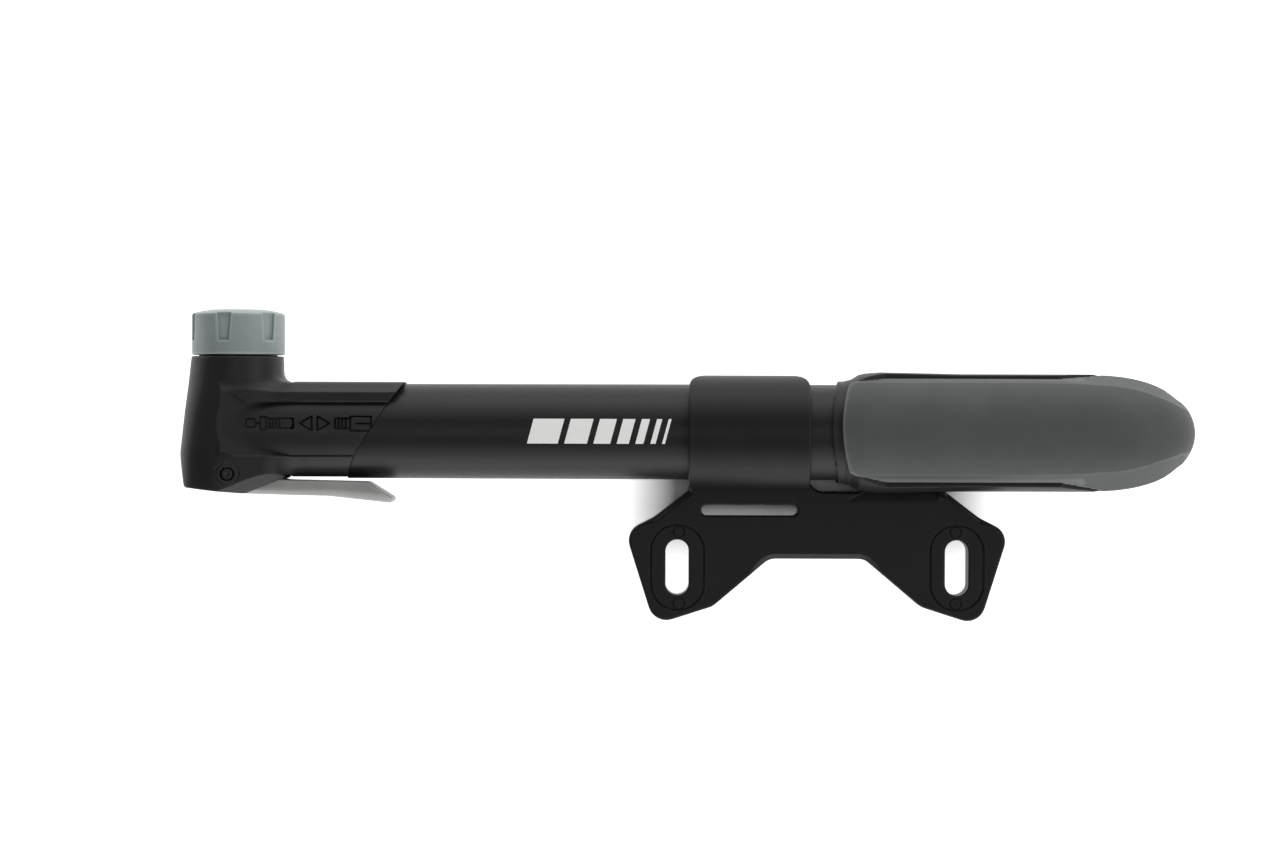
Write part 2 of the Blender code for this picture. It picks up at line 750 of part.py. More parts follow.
def build_frame_bracket(parent, material):
    plate = prism(plate_side(), PLATE_BACK_Z, PLATE_FRONT_Z)
    bracket = make_object("frame_bracket", plate, parent, material, smooth=False)
    add(bracket, clip_band(), "clip_band", parent)
    cut(bracket, cylinder("X", 90.0, 131.5, CLIP_INNER_R, 48), "clip_bore", parent)
    add(bracket, prism(tongue_section(), TONGUE_START_X, TONGUE_END_X, "X"), "tongue", parent)
    scoop = [(-16.05, -2.5), (-12.5, -2.5), (-12.5, -8.29)]
    cut(bracket, prism(scoop, 140.5, TONGUE_START_X + 0.6, "X"), "handle_scoop", parent)
    for side in (-1, 1):
        center = (PLATE_CENTER_X + side * BOLT_PITCH / 2, EAR_SLOT_Y)
        cut(bracket, prism(racetrack(center, EAR_SLOT_SIZE), -12, 2), f"ear_slot_{side + 1}", parent)
    cut(bracket, prism(racetrack(STRAP_SLOT, STRAP_SLOT_SIZE), -12, 2), "strap_slot", parent)
    return bracket


# ---- assembly -----------------------------------------------------------------------------
def main():
    clear_scene()
    materials = {
        "black_plastic": make_material("black_plastic", (0.022, 0.021, 0.021), 0.5),
        "bracket_plastic": make_material("bracket_plastic", (0.016, 0.016, 0.016), 0.5),
        "grey_plastic": make_material("grey_plastic", (0.24, 0.27, 0.28), 0.45),
        "pale_plastic": make_material("pale_plastic", (0.5, 0.52, 0.52), 0.4),
        "white_nylon": make_material("white_nylon", (0.7, 0.7, 0.66), 0.5),
        "grip_rubber": make_material("grip_rubber", (0.075, 0.08, 0.078), 0.7),
        "rubber": make_material("rubber", (0.02, 0.02, 0.02), 0.8),
        "steel": make_material("steel", (0.6, 0.6, 0.6), 0.3, 1.0),
    }
    pump = make_empty("pump_axis", location=OFFSET)
    slide = make_empty("piston_axis", pump)
    handle = make_empty("handle_axis", pump, turn_x=HANDLE_TURN)
    build_head_body(pump, materials["black_plastic"])
    build_chuck_cap(pump, materials["grey_plastic"])
    build_lock_lever(pump, materials["pale_plastic"])
    build_head_inside(pump, materials)
    build_barrel(pump, materials["black_plastic"])
    build_pumping_parts(pump, slide, materials)
    build_handle_core(handle, materials["black_plastic"])
    build_handle_grip(handle, materials["grip_rubber"])
    build_rod_end(slide, materials)
    build_frame_bracket(pump, materials["bracket_plastic"])


main()
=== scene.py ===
"""The looks of a mini bicycle pump with its frame bracket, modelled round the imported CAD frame.

Most pieces are drawn as signed-distance fields in the pump's own frame, in millimetres: X runs
along the barrel from the valve head to the handle's nose, Y points out of the valve mouth, and
Z points up from the table. A field is negative inside the piece. Its zero surface becomes a
mesh, which is carried to the row frame and rides on its CAD body.
"""

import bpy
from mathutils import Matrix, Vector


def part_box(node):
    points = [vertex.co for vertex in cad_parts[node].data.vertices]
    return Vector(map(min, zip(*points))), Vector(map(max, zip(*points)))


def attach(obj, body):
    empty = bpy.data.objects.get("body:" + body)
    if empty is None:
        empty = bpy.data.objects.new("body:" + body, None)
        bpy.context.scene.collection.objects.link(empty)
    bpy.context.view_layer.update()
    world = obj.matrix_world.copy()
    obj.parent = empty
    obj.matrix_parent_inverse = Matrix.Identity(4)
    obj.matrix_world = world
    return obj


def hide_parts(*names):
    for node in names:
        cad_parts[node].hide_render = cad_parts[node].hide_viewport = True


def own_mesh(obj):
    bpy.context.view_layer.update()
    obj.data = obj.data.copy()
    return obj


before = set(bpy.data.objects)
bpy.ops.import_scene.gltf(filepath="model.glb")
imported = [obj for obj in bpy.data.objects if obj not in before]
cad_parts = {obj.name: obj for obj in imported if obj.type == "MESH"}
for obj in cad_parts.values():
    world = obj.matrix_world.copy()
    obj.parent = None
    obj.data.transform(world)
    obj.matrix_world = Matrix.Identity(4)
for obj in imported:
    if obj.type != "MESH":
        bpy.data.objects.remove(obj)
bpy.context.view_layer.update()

import itertools
import math

import bpy
import numpy as np
from mathutils import Matrix, Vector

MM = 0.001
AXIS_R = 0.02  # solid turned pieces keep this much off their axis
CLEARANCE = 0.3  # room left between neighbouring pieces
CREASE_ANGLE = math.radians(9)  # a surface that turns more than this close by has a crease


def middle_mm(node):
    low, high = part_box(node)
    return np.array((low + high) / 2) / MM


# The pump frame's origin is where the barrel's axis meets the chuck's axis.
ORIGIN = np.array((middle_mm("chuck_cap")[0], middle_mm("barrel")[1], middle_mm("barrel")[2]))


def pump_box(node):
    """A CAD node's lowest and highest corners in the pump frame."""
    low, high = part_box(node)
    return np.array(low) / MM - ORIGIN, np.array(high) / MM - ORIGIN


# ---- sizes, millimetres ----
BARREL_END_X = pump_box("barrel")[1][0]
BARREL_START_X = pump_box("barrel")[0][0]
BARREL_R = pump_box("barrel")[1][1]
BARREL_FRONT_R = BARREL_R - 0.03  # the barrel tapers a little towards the head
BARREL_REAR_R = BARREL_R + 0.05
BARREL_FULL_X = 95.0  # where the taper ends
BARREL_RING_X = 140.0  # of one more ring of points in the straight part
BARREL_BORE_R = 8.0
SPIGOT_R = 9.6  # of the barrel's end inside the head
SOCKET_START_X = 13.2  # of the head's hole for it
SHOULDER_GAP = 0.08  # between the barrel's shoulder and the head's sleeve

COLUMN_TOP_Y = 16.9
NECK_R = 8.9
NECK_TOP_Y = pump_box("head_body")[1][1]
CHUCK_BORE_R = 7.0
CHUCK_BORE_LOW_Y = -8.0
SLEEVE_TOP_Y = 11.15
SLEEVE_START_X = -2.0
UPPER_FLANK_R = 11.64
RIDGE_PLACES = (-3.0, 2.3, 9.0, 37.0)  # along X, with the sharp ridge's heights there
RIDGE_HEIGHTS = (11.3, 10.3, 9.6, 9.1)
LOWER_FLANK_PLACES = (0.0, 6.0, 27.0)  # along X, with the lower flank's radii there
LOWER_FLANK_RADII = (11.6, 11.25, 11.12)
FLANK_TILT = math.radians(42)  # of the flat strip under the side panel
RAMP_START = (-4.6, 11.65)  # X and height of the side panel's left end
RAMP_SLOPE = 0.28  # of the panel's floor there, along X
RAMP_CURL = 0.17  # and its rise towards both long edges
RAMP_LEAN = 0.12  # which is more towards the lever
RIDGE_TILT = math.radians(55)  # of the strip outside the ridge
BAND_TILT = math.radians(9)  # of the flat band inside it
BAND_START_Y = 6.5
CHEEK_HALF_Z = 12.0
FACET_SLOPE = 1.4  # of the slanted strip along the cheeks' lower edge
PANEL_R = BARREL_R  # the head's side panels lie flush with the barrel
PANEL_TOP_Y = 8.8
PANEL_BOTTOM_Y = -5.7
SLOT_HALF_Z = 7.8

PIN = middle_mm("lever_pin") - ORIGIN
PIN_R = 1.5
PIN_HOLE_R = 1.58
PIN_RING_R = 2.65  # of the shallow ring round the pin's end
LEVER_HALF_Z = pump_box("lock_lever")[1][2]

CAP_R = pump_box("chuck_cap")[1][2]
CAP_BOTTOM_Y = pump_box("chuck_cap")[0][1]
CAP_TOP_Y = pump_box("chuck_cap")[1][1]
CAP_INNER_R = 9.2
VALVE_HOLE_R = 4.6
CAP_NOTCHES = 6
CAP_NOTCH_TURN = math.radians(-13.0)

HANDLE_TURN = math.radians(-6.5)
LIP_X = pump_box("handle_core")[0][0]
LIP_R = 11.65
CORE_R = 11.95
CORE_BORE_R = 11.15
CORE_END_X = pump_box("handle_core")[1][0]
CORE_END_R = 10.5
CORE_FLOOR_X = CORE_END_X - 5.0
ROD_HOLE_R = 3.3
RAIL_HALF_Z = 4.1
GRIP_R = 13.4
GRIP_INNER_R = 12.2
NOSE_X = pump_box("handle_grip")[1][0]

CLIP_INNER_R = 11.05
CLIP_OUTER_R = 12.9
CLIP_START_X = 102.7
CLIP_END_X = 130.2
CLIP_CORNER_R = 11.6
CLIP_WRAP = math.radians(104.0)
TONGUE_TURN = math.radians(-121.0)  # of the curved tongue beside the handle
TONGUE_HALF_TURN = math.radians(18.0)
TONGUE_R = 15.05
TONGUE_X = 159.65
PLATE_CENTER_X = 132.25
PLATE_FRONT_Z = -3.0
PLATE_BACK_Z = pump_box("frame_bracket")[0][2]
EAR_PITCH = 64.0
EAR_SLOT_Y = -31.0
EAR_SLOT = (5.35, 12.7)  # length along X and along Y
EAR_PAD = (12.2, 19.6)
EJECTOR_R = 1.3  # of the round moulding marks on the pads
EJECTOR_LIFT = 8.2
STRAP_SLOT_CENTER = (116.85, -17.9)
STRAP_SLOT = (22.2, 2.55)
SCOOP_TILT = math.radians(11)


# ---- outlines and distance fields ----
def rounded(corners, steps=6):
    """An outline with its corners rounded. Each corner is (x, y, radius)."""
    outline = []
    for i, (x, y, radius) in enumerate(corners):
        here = Vector((x, y))
        if radius == 0:
            outline.append((x, y))
            continue
        before = (Vector(corners[i - 1][:2]) - here).normalized()
        after = (Vector(corners[(i + 1) % len(corners)][:2]) - here).normalized()
        half = before.angle(after) / 2
        center = here + (before + after).normalized() * (radius / math.sin(half))
        start = here + before * (radius / math.tan(half)) - center
        end = here + after * (radius / math.tan(half)) - center
        sweep = start.angle_signed(end)
        for k in range(steps + 1):
            turned = center + Matrix.Rotation(-sweep * k / steps, 2) @ start
            outline.append((turned.x, turned.y))
    return outline


def polygon(x, y, corners):
    """Signed distance to a closed outline."""
    nearest = np.inf
    inside = False
    for (ax, ay), (bx, by) in zip(corners, corners[1:] + corners[:1]):
        ex = bx - ax
        ey = by - ay
        px = x - ax
        py = y - ay
        along = np.clip((px * ex + py * ey) / (ex * ex + ey * ey), 0, 1)
        nearest = np.minimum(nearest, (px - ex * along) ** 2 + (py - ey * along) ** 2)
        turn = px * ey - ex * py
        crosses = ((ay > y) != (by > y)) & (turn < 0 if ey > 0 else turn > 0)
        inside = inside ^ crosses
    return np.where(inside, -1, 1) * np.sqrt(nearest)


def racetrack(x, y, center, size):
    """Signed distance to a slot with round ends."""
    radius = min(size) / 2
    along_x = np.maximum(np.abs(x - center[0]) - (size[0] / 2 - radius), 0)
    along_y = np.maximum(np.abs(y - center[1]) - (size[1] / 2 - radius), 0)
    return np.hypot(along_x, along_y) - radius


def strokes(x, y, lines):
    """Distance to the nearest of some straight lines."""
    nearest = np.inf
    for ax, ay, bx, by in lines:
        ex = bx - ax
        ey = by - ay
        along = np.clip(((x - ax) * ex + (y - ay) * ey) / (ex * ex + ey * ey), 0, 1)
        nearest = np.minimum(nearest, np.hypot(x - ax - ex * along, y - ay - ey * along))
    return nearest


def curve(x, places, values):
    """A smooth curve through some values at rising places."""
    places = np.array(places)
    values = np.array(values)
    tilts = np.gradient(values, places)
    i = np.clip(np.searchsorted(places, x) - 1, 0, len(places) - 2)
    width = places[i + 1] - places[i]
    t = np.clip((x - places[i]) / width, 0, 1)
    rest = 1 - t
    return (values[i] * rest * rest * (1 + 2 * t) + values[i + 1] * t * t * (3 - 2 * t)
            + width * t * rest * (tilts[i] * rest - tilts[i + 1] * t))


def join(a, b, soft=0.0):
    """Both shapes together. A soft join leaves a fillet."""
    if soft == 0:
        return np.minimum(a, b)
    share = np.clip(0.5 + 0.5 * (b - a) / soft, 0, 1)
    return b + (a - b) * share - soft * share * (1 - share)


def meet(a, b, soft=0.0):
    """What two shapes have in common. A soft meeting rounds the edge."""
    return -join(-a, -b, soft)


def carve(a, b, soft=0.0):
    """The first shape with the second cut away."""
    return meet(a, -b, soft)


# ---- from a field to a mesh ----
def spaced(low, high, step, *fine):
    """Grid places from low to high, closer together within each fine = (low, high, step)."""
    stretches = []
    for start, end, fine_step in fine:
        stretches += [np.arange(low, start, step), np.arange(start, end, fine_step)]
        low = end
    return np.concatenate((*stretches, np.arange(low, high + step, step)))


def surface_net(field, grid):
    """The field's zero surface as points and quads, with one point in each cell it crosses."""
    values = field(grid[0][:, None, None], grid[1][None, :, None], grid[2][None, None, :])
    inside = values < 0
    count = np.zeros([len(places) - 1 for places in grid], np.uint8)
    for corner in itertools.product((0, 1), repeat=3):
        count += inside[tuple(slice(c, c + n) for c, n in zip(corner, count.shape))]
    cells = np.argwhere((count > 0) & (count < 8))
    number = np.full(count.shape, -1)
    number[tuple(cells.T)] = np.arange(len(cells))

    total = np.zeros((len(cells), 3))
    hits = np.zeros((len(cells), 1))
    for axis in range(3):
        for across in itertools.product((0, 1), repeat=2):
            start = cells + np.insert(across, axis, 0)
            end = cells + np.insert(across, axis, 1)
            first = values[tuple(start.T)]
            second = values[tuple(end.T)]
            hit = (first < 0) != (second < 0)
            share = np.where(hit, first / np.where(hit, first - second, 1), 0)[:, None]
            a = np.stack([places[i] for places, i in zip(grid, start.T)], 1)
            b = np.stack([places[i] for places, i in zip(grid, end.T)], 1)
            total += hit[:, None] * (a + (b - a) * share)
            hits += hit[:, None]
    points = total / hits

    faces = []
    for axis in range(3):
        order = (axis, (axis + 1) % 3, (axis + 2) % 3)
        side = np.moveaxis(inside, order, (0, 1, 2))
        numbered = np.moveaxis(number, order, (0, 1, 2))
        i, j, k = np.nonzero(side[:-1, 1:-1, 1:-1] != side[1:, 1:-1, 1:-1])
        j += 1
        k += 1
        around = ((j, k), (j - 1, k), (j - 1, k - 1), (j, k - 1))
        quads = np.stack([numbered[i, v, w] for v, w in around], 1)
        backward = ~side[i, j, k]
        quads[backward] = quads[backward, ::-1]
        faces.append(quads)
    return points, np.concatenate(faces)


def slope(field, points, reach=0.08):
    """The field's gradient at some points."""
    out = np.empty_like(points)
    for axis in range(3):
        step = np.zeros(3)
        step[axis] = reach
        out[:, axis] = field(*(points + step).T) - field(*(points - step).T)
    return out / (2 * reach)


def settle(field, points, limit, rounds=3):
    """Moves points onto the field's zero surface."""
    for _ in range(rounds):
        steepness = slope(field, points)
        size = np.maximum((steepness ** 2).sum(1), 0.05)
        move = -(field(*points.T) / size)[:, None] * steepness
        points = points + np.clip(move, -limit, limit)
    return points


def edge_sharpness(field, points, reach=0.45):
    """How much the surface bends near each point: 1 on a sharp edge, -1 in a sharp corner."""
    bend = -6 * field(*points.T)
    for axis in range(3):
        step = np.zeros(3)
        step[axis] = reach
        bend += field(*(points + step).T) + field(*(points - step).T)
    return np.clip(bend / reach ** 2 * 0.6, -1, 1)


def make_mesh(name, points, faces):
    """A mesh in the row frame from points in the pump frame."""
    mesh = bpy.data.meshes.new(name)
    mesh.vertices.add(len(points))
    mesh.vertices.foreach_set("co", ((points + ORIGIN) * MM).ravel())
    mesh.loops.add(faces.size)
    mesh.loops.foreach_set("vertex_index", faces.ravel())
    mesh.polygons.add(len(faces))
    mesh.polygons.foreach_set("loop_start", np.arange(0, faces.size, faces.shape[1]))
    mesh.update(calc_edges=True)
    mesh.validate()
    return mesh


def thinned(mesh, most_faces):
    """Collapses the edges that matter least until the mesh has about most_faces triangles."""
    triangles = 2 * len(mesh.polygons)
    if triangles <= most_faces:
        return mesh
    dense = bpy.data.objects.new("dense", mesh)
    bpy.context.scene.collection.objects.link(dense)
    change = dense.modifiers.new("thin", "DECIMATE")
    change.ratio = most_faces / triangles
    graph = bpy.context.evaluated_depsgraph_get()
    light = bpy.data.meshes.new_from_object(dense.evaluated_get(graph))
    bpy.data.objects.remove(dense)
    bpy.data.meshes.remove(mesh)
    return light


def unit(vectors):
    return vectors / np.maximum(np.linalg.norm(vectors, axis=-1, keepdims=True), 1e-9)


def corner_normals(field, points, mesh):
    """A normal for each corner of each face. At a crease it is taken just inside the face, so
    that the crease stays sharp."""
    corner = np.empty(len(mesh.loops), int)
    mesh.loops.foreach_get("vertex_index", corner)
    first = np.empty(len(mesh.polygons), int)
    mesh.polygons.foreach_get("loop_start", first)
    sizes = np.diff(np.append(first, len(corner)))[:, None]
    places = points[corner]
    middle = np.repeat(np.add.reduceat(places, first) / sizes, sizes[:, 0], 0)
    own = unit(slope(field, points))[corner]
    inside = unit(slope(field, places + (middle - places) * 0.35, 0.03))
    crease = (own * inside).sum(-1, keepdims=True) < math.cos(CREASE_ANGLE)
    return np.where(crease, inside, own)


def put(name, mesh, material, body, nodes):
    """Makes the mesh a piece of the object: it rides on its body and stands for CAD nodes."""
    mesh.name = name
    mesh.materials.append(material)
    piece = bpy.data.objects.new(name, mesh)
    bpy.context.scene.collection.objects.link(piece)
    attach(piece, body)
    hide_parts(*nodes)
    return piece


def sculpt(name, field, grid, most_faces, turn=0.0):
    """A field's surface as a finished mesh, turned about the barrel's axis."""
    points, faces = surface_net(field, grid)
    step = grid[0][1] - grid[0][0]
    points = settle(field, points, step)
    mesh = thinned(make_mesh(name, points, faces), most_faces)
    places = np.empty(len(mesh.vertices) * 3)
    mesh.vertices.foreach_get("co", places)
    points = settle(field, places.reshape(-1, 3) / MM - ORIGIN, 0.1, 2)
    normals = corner_normals(field, points, mesh)
    sharpness = edge_sharpness(field, points)
    spin = np.array(Matrix.Rotation(turn, 3, "X"))
    mesh.vertices.foreach_set("co", ((points @ spin.T + ORIGIN) * MM).ravel())
    # The edge sharpness goes with the mesh; the plastics use it to paint sharp edges lighter, partly as
    # wear and mostly as a painted highlight.
    mesh.attributes.new("edge", "FLOAT", "POINT").data.foreach_set("value", sharpness)
    mesh.update()
    mesh.shade_smooth()
    mesh.normals_split_custom_set(normals @ spin.T)
    return mesh


def ring_grid(name, points):
    """A closed skin over points[section][corner], whose sections and corners both go round."""
    sections, corners = points.shape[:2]
    index = np.arange(sections * corners).reshape(sections, corners)
    across = np.roll(index, -1, 0)
    along = np.roll(index, -1, 1)
    both = np.roll(across, -1, 1)
    faces = np.stack([index, across, both, along], -1).reshape(-1, 4)
    flat = points.reshape(-1, 3)
    size = np.cross(flat[faces[:, 2]] - flat[faces[:, 0]], flat[faces[:, 3]] - flat[faces[:, 1]])
    if (flat[faces[:, 0]] * size).sum() < 0:
        faces = faces[:, ::-1]
        size = -size
    normals = np.zeros_like(flat)
    for column in faces.T:
        np.add.at(normals, column, size)
    mesh = make_mesh(name, flat, faces)
    mesh.shade_smooth()
    mesh.normals_split_custom_set_from_vertices(unit(normals))
    return mesh


def lathe(name, profile, axis="X", center=(0.0, 0.0), steps=96):
    """Turns a closed profile of (along, radius) about an axis through center."""
    angles = np.arange(steps) * math.tau / steps
    along = np.array([a for a, r in profile])[None, :] + np.zeros((steps, 1))
    radius = np.array([r for a, r in profile])[None, :]
    u = center[0] + radius * np.cos(angles)[:, None]
    v = center[1] + radius * np.sin(angles)[:, None]
    order = {"X": (along, u, v), "Y": (v, along, u), "Z": (u, v, along)}[axis]
    return ring_grid(name, np.stack(order, -1))


# ---- head ----
COLUMN_SECTIONS = [  # height, left, right, half depth, squareness
    (-17.0, -12.95, 12.9, CHEEK_HALF_Z, 3.2),
    (-5.0, -12.95, 12.7, CHEEK_HALF_Z, 3.0),
    (4.0, -12.1, 12.3, 11.7, 2.6),
    (11.0, -11.3, 10.6, 10.9, 2.1),
    (16.9, -10.7, 10.45, 10.5, 2.0),
]


def sleeve_end(offset=0.0):
    """The slanted end of the head's sleeve, from below the barrel to above it."""
    line = [(25.05, -10.2), (25.3, -9.9), (27.6, -4.4), (35.2, 7.1), (38.25, 11.0), (39.0, 12.0)]
    return [(x + offset, y) for x, y in line]


def head_outline():
    return rounded([
        (-10.72, COLUMN_TOP_Y, 0),
        (-11.3, 11.4, 20),
        (-12.98, -5.2, 6),
        (-11.5, -12.9, 0.9),
        (-3.9, -13.75, 6),
        (3.35, -14.35, 0.7),
        (12.3, -10.4, 1.5),
        (45.0, -10.4, 0),
        (45.0, 12.0, 0),
        (13.8, 12.0, 0),
        (12.95, 11.1, 0),
        (10.55, 11.1, 2.4),
        (10.45, COLUMN_TOP_Y, 0),
    ])


def thread_lines(start, count, pitch, center_y, half):
    """Upright strokes side by side."""
    places = [start + i * pitch for i in range(count)]
    return [(x, center_y - half, x, center_y + half) for x in places]


def frame_lines(left, right, center_y, half):
    """The four sides of a box."""
    top = center_y + half
    low = center_y - half
    corners = [(left, low), (right, low), (right, top), (left, top)]
    return [(*here, *after) for here, after in zip(corners, corners[1:] + corners[:1])]


def valve_marks():
    """Pictograms of the two valve kinds, and a pair of turn arrows between them."""
    y = 1.65
    slim = [
        *frame_lines(2.8, 4.9, y, 0.9),
        (4.9, y, 6.0, y),
        *frame_lines(6.0, 7.3, y, 1.45),
        *thread_lines(8.1, 4, 0.75, y, 1.1),
        *frame_lines(7.3, 13.4, y, 1.1),
    ]
    arrows = []
    for tip, base in ((14.9, 17.6), (21.6, 18.9)):
        arrows += [(tip, y, base, y + 1.6), (base, y + 1.6, base, y - 1.6), (base, y - 1.6, tip, y)]
    wide = [
        *frame_lines(22.9, 26.3, y, 1.15),
        *thread_lines(23.7, 3, 0.8, y, 1.15),
        *frame_lines(26.3, 31.0, y, 1.6),
        (27.6, y, 31.0, y),
    ]
    return slim + arrows + wide


MARK_HALF_WIDTH = 0.19
MARK_DEPTH = 0.42
HEAD_OUTLINE = head_outline()
SLEEVE_CUT = [(-20.0, -20.0), (24.0, -20.0), *sleeve_end(), (39.0, 25.0), (-20.0, 25.0)]
VALVE_MARKS = valve_marks()
SIDE_PANEL = rounded([(-4.3, PANEL_TOP_Y, 1.0), (-5.75, PANEL_BOTTOM_Y, 1.6),
                      (50.0, PANEL_BOTTOM_Y, 0), (50.0, PANEL_TOP_Y, 0)])
LEVER_SLOT = [(-9.3, -20.0), (-9.3, -4.2), (4.0, -4.2), (7.6, -9.0), (12.6, -10.1), (14.5, -20.0)]


def head_column(x, y, z):
    height, left, right, depth, squareness = np.array(COLUMN_SECTIONS).T
    low = np.interp(y, height, left)
    high = np.interp(y, height, right)
    half_x = (high - low) / 2
    half_z = np.interp(y, height, depth)
    power = np.interp(y, height, squareness)
    across = np.abs((x - (low + high) / 2) / half_x) ** power
    reach = (across + np.abs(z / half_z) ** power) ** (1 / power)
    return (reach - 1) * np.minimum(half_x, half_z)


def sleeve_section(x, y, tall, radius):
    """A flat strip below the side panel, and a flat band, a ridge and a steep strip above it."""
    lower_r = np.interp(x, LOWER_FLANK_PLACES, LOWER_FLANK_RADII)
    flank_r = np.where(y > 0, UPPER_FLANK_R, lower_r)
    lower_strip = tall * math.cos(FLANK_TILT) - y * math.sin(FLANK_TILT) - lower_r + 0.2
    lower_strip = meet(meet(lower_strip, -y - lower_r, 0.8), y - PANEL_BOTTOM_Y - 0.3)
    above = tall - curve(x, RIDGE_PLACES, RIDGE_HEIGHTS)
    beyond = y - PANEL_TOP_Y
    band = above * math.cos(BAND_TILT) + beyond * math.sin(BAND_TILT)
    strip = above * math.cos(RIDGE_TILT) + beyond * math.sin(RIDGE_TILT)
    shoulder = meet(meet(band, strip, 0.1), BAND_START_Y - y)
    return join(join(radius - flank_r, lower_strip), shoulder)


def panel_floor(x, y, tall, radius):
    """What the side panels leave standing: the barrel's round, and a ramp up to the left rim
    that curls up towards the long edges as well."""
    curl = RAMP_CURL * np.hypot(y, 2.0) - RAMP_LEAN * y
    height = RAMP_START[1] - RAMP_SLOPE * (x - RAMP_START[0]) + curl
    return join(radius - PANEL_R, (tall - height) * 0.92, 0.6)


def head_field(x, y, z):
    radius = np.hypot(y, z)
    tall = np.abs(z)
    sleeve = meet(sleeve_section(x, y, tall, radius), y - SLEEVE_TOP_Y, 0.6)
    sleeve = meet(sleeve, SLEEVE_START_X - x)
    body = join(head_column(x, y, z), sleeve, 2.2)
    body = meet(body, polygon(x, y, HEAD_OUTLINE), 0.5)
    body = meet(body, polygon(x, y, SLEEVE_CUT), 0.06)

    facet_run = (x + 2.6) * 0.378 - (y + 13.3) * 0.926 - 1.2 * np.maximum(x - 12.0, 0)
    facet = (tall - CHEEK_HALF_Z + FACET_SLOPE * facet_run) / math.hypot(1, FACET_SLOPE)
    body = meet(body, facet, 0.1)

    panel = meet(polygon(x, y, SIDE_PANEL), y - BAND_START_Y - 0.6 * np.clip(3.0 - x, 0, 3.8))
    body = carve(body, meet(panel, -panel_floor(x, y, tall, radius), 0.12), 0.12)

    chuck_radius = np.hypot(x, z)
    neck = meet(chuck_radius - NECK_R, meet(y - NECK_TOP_Y, 14.0 - y), 0.4)
    body = join(body, neck)
    body = carve(body, meet(chuck_radius - CHUCK_BORE_R, CHUCK_BORE_LOW_Y - y), 0.3)
    body = carve(body, meet(radius - SPIGOT_R - CLEARANCE, SOCKET_START_X - x), 0.3)
    slot = meet(tall - SLOT_HALF_Z, polygon(x, y, LEVER_SLOT))
    body = carve(body, slot, 0.4)

    pin_radius = np.hypot(x - PIN[0], y - PIN[1])
    body = carve(body, pin_radius - PIN_HOLE_R, 0.1)
    pin_ring = meet(np.abs(pin_radius - PIN_RING_R) - 0.14, -0.08 - body)
    body = carve(body, pin_ring, 0.1)

    marks = strokes(x, y, VALVE_MARKS) - MARK_HALF_WIDTH
    marks = meet(meet(marks, -MARK_DEPTH - body), -z)
    return carve(body, marks, 0.06)


def build_head(materials):
    grid = (
        spaced(-14.0, 40.5, 0.3, (2.3, 31.7, 0.12)),
        spaced(-15.5, 25.0, 0.3, (-0.5, 3.8, 0.12)),
        spaced(-13.2, 13.5, 0.3),
    )
    mesh = sculpt("head_shell", head_field, grid, 85000)
    put("head_shell", mesh, materials["head"], "pump_body", ["head_body"])

    end = pump_box("lever_pin")[1][2]
    edge = 0.25
    profile = [(-end, AXIS_R), (-end, PIN_R - edge), (-end + edge, PIN_R),
               (end - edge, PIN_R), (end, PIN_R - edge), (end, AXIS_R)]
    pin = lathe("pivot_pin", profile, "Z", (PIN[0], PIN[1]), 48)
    put("pivot_pin", pin, materials["dark_steel"], "pump_body", ["lever_pin"])


# ---- cap ----
def cap_profile():
    return rounded([
        (CAP_BOTTOM_Y, CAP_INNER_R, 0.1),
        (CAP_BOTTOM_Y, CAP_R, 0.25),
        (CAP_TOP_Y - 0.95, CAP_R, 0.5),
        (CAP_TOP_Y - 0.55, CAP_R - 1.1, 1.0),
        (CAP_TOP_Y, 6.6, 3.0),
        (CAP_TOP_Y, VALVE_HOLE_R, 0.4),
        (CAP_TOP_Y - 2.2, VALVE_HOLE_R, 0),
        (CAP_TOP_Y - 2.2, CAP_INNER_R, 0),
    ])


CAP_PROFILE = cap_profile()
NOTCH_OUTLINE = [(-1.2, 20.45), (1.2, 20.45), (1.85, 28.5), (-1.85, 28.5)]


def cap_field(x, y, z):
    cap = polygon(y, np.hypot(x, z), CAP_PROFILE)
    for i in range(CAP_NOTCHES):
        angle = CAP_NOTCH_TURN + i * math.tau / CAP_NOTCHES
        across = x * math.cos(angle) - z * math.sin(angle)
        outward = x * math.sin(angle) + z * math.cos(angle)
        notch = meet(polygon(across, y, NOTCH_OUTLINE), CAP_R - 0.75 - outward, 0.1)
        cap = carve(cap, notch, 0.2)
    return cap


def build_cap(materials):
    grid = (
        spaced(-11.1, 11.1, 0.22),
        spaced(CAP_BOTTOM_Y - 0.6, CAP_TOP_Y + 0.6, 0.22),
        spaced(-11.1, 11.1, 0.22),
    )
    mesh = sculpt("chuck_cap_shell", cap_field, grid, 60000)
    put("chuck_cap_shell", mesh, materials["cap"], "cap", ["chuck_cap"])


# ---- lever ----
CAM_LOW = 3.0  # the cam's height over the pin's axis when folded
CAM_RISE = 2.5  # and how much it adds over a quarter turn
ARM_LOWER_EDGE = ((2.6, 21.0, 34.9), (-14.4, -14.9, -16.5))
TIP_START_X = 33.5
TIP_ROUND_R = 2.6


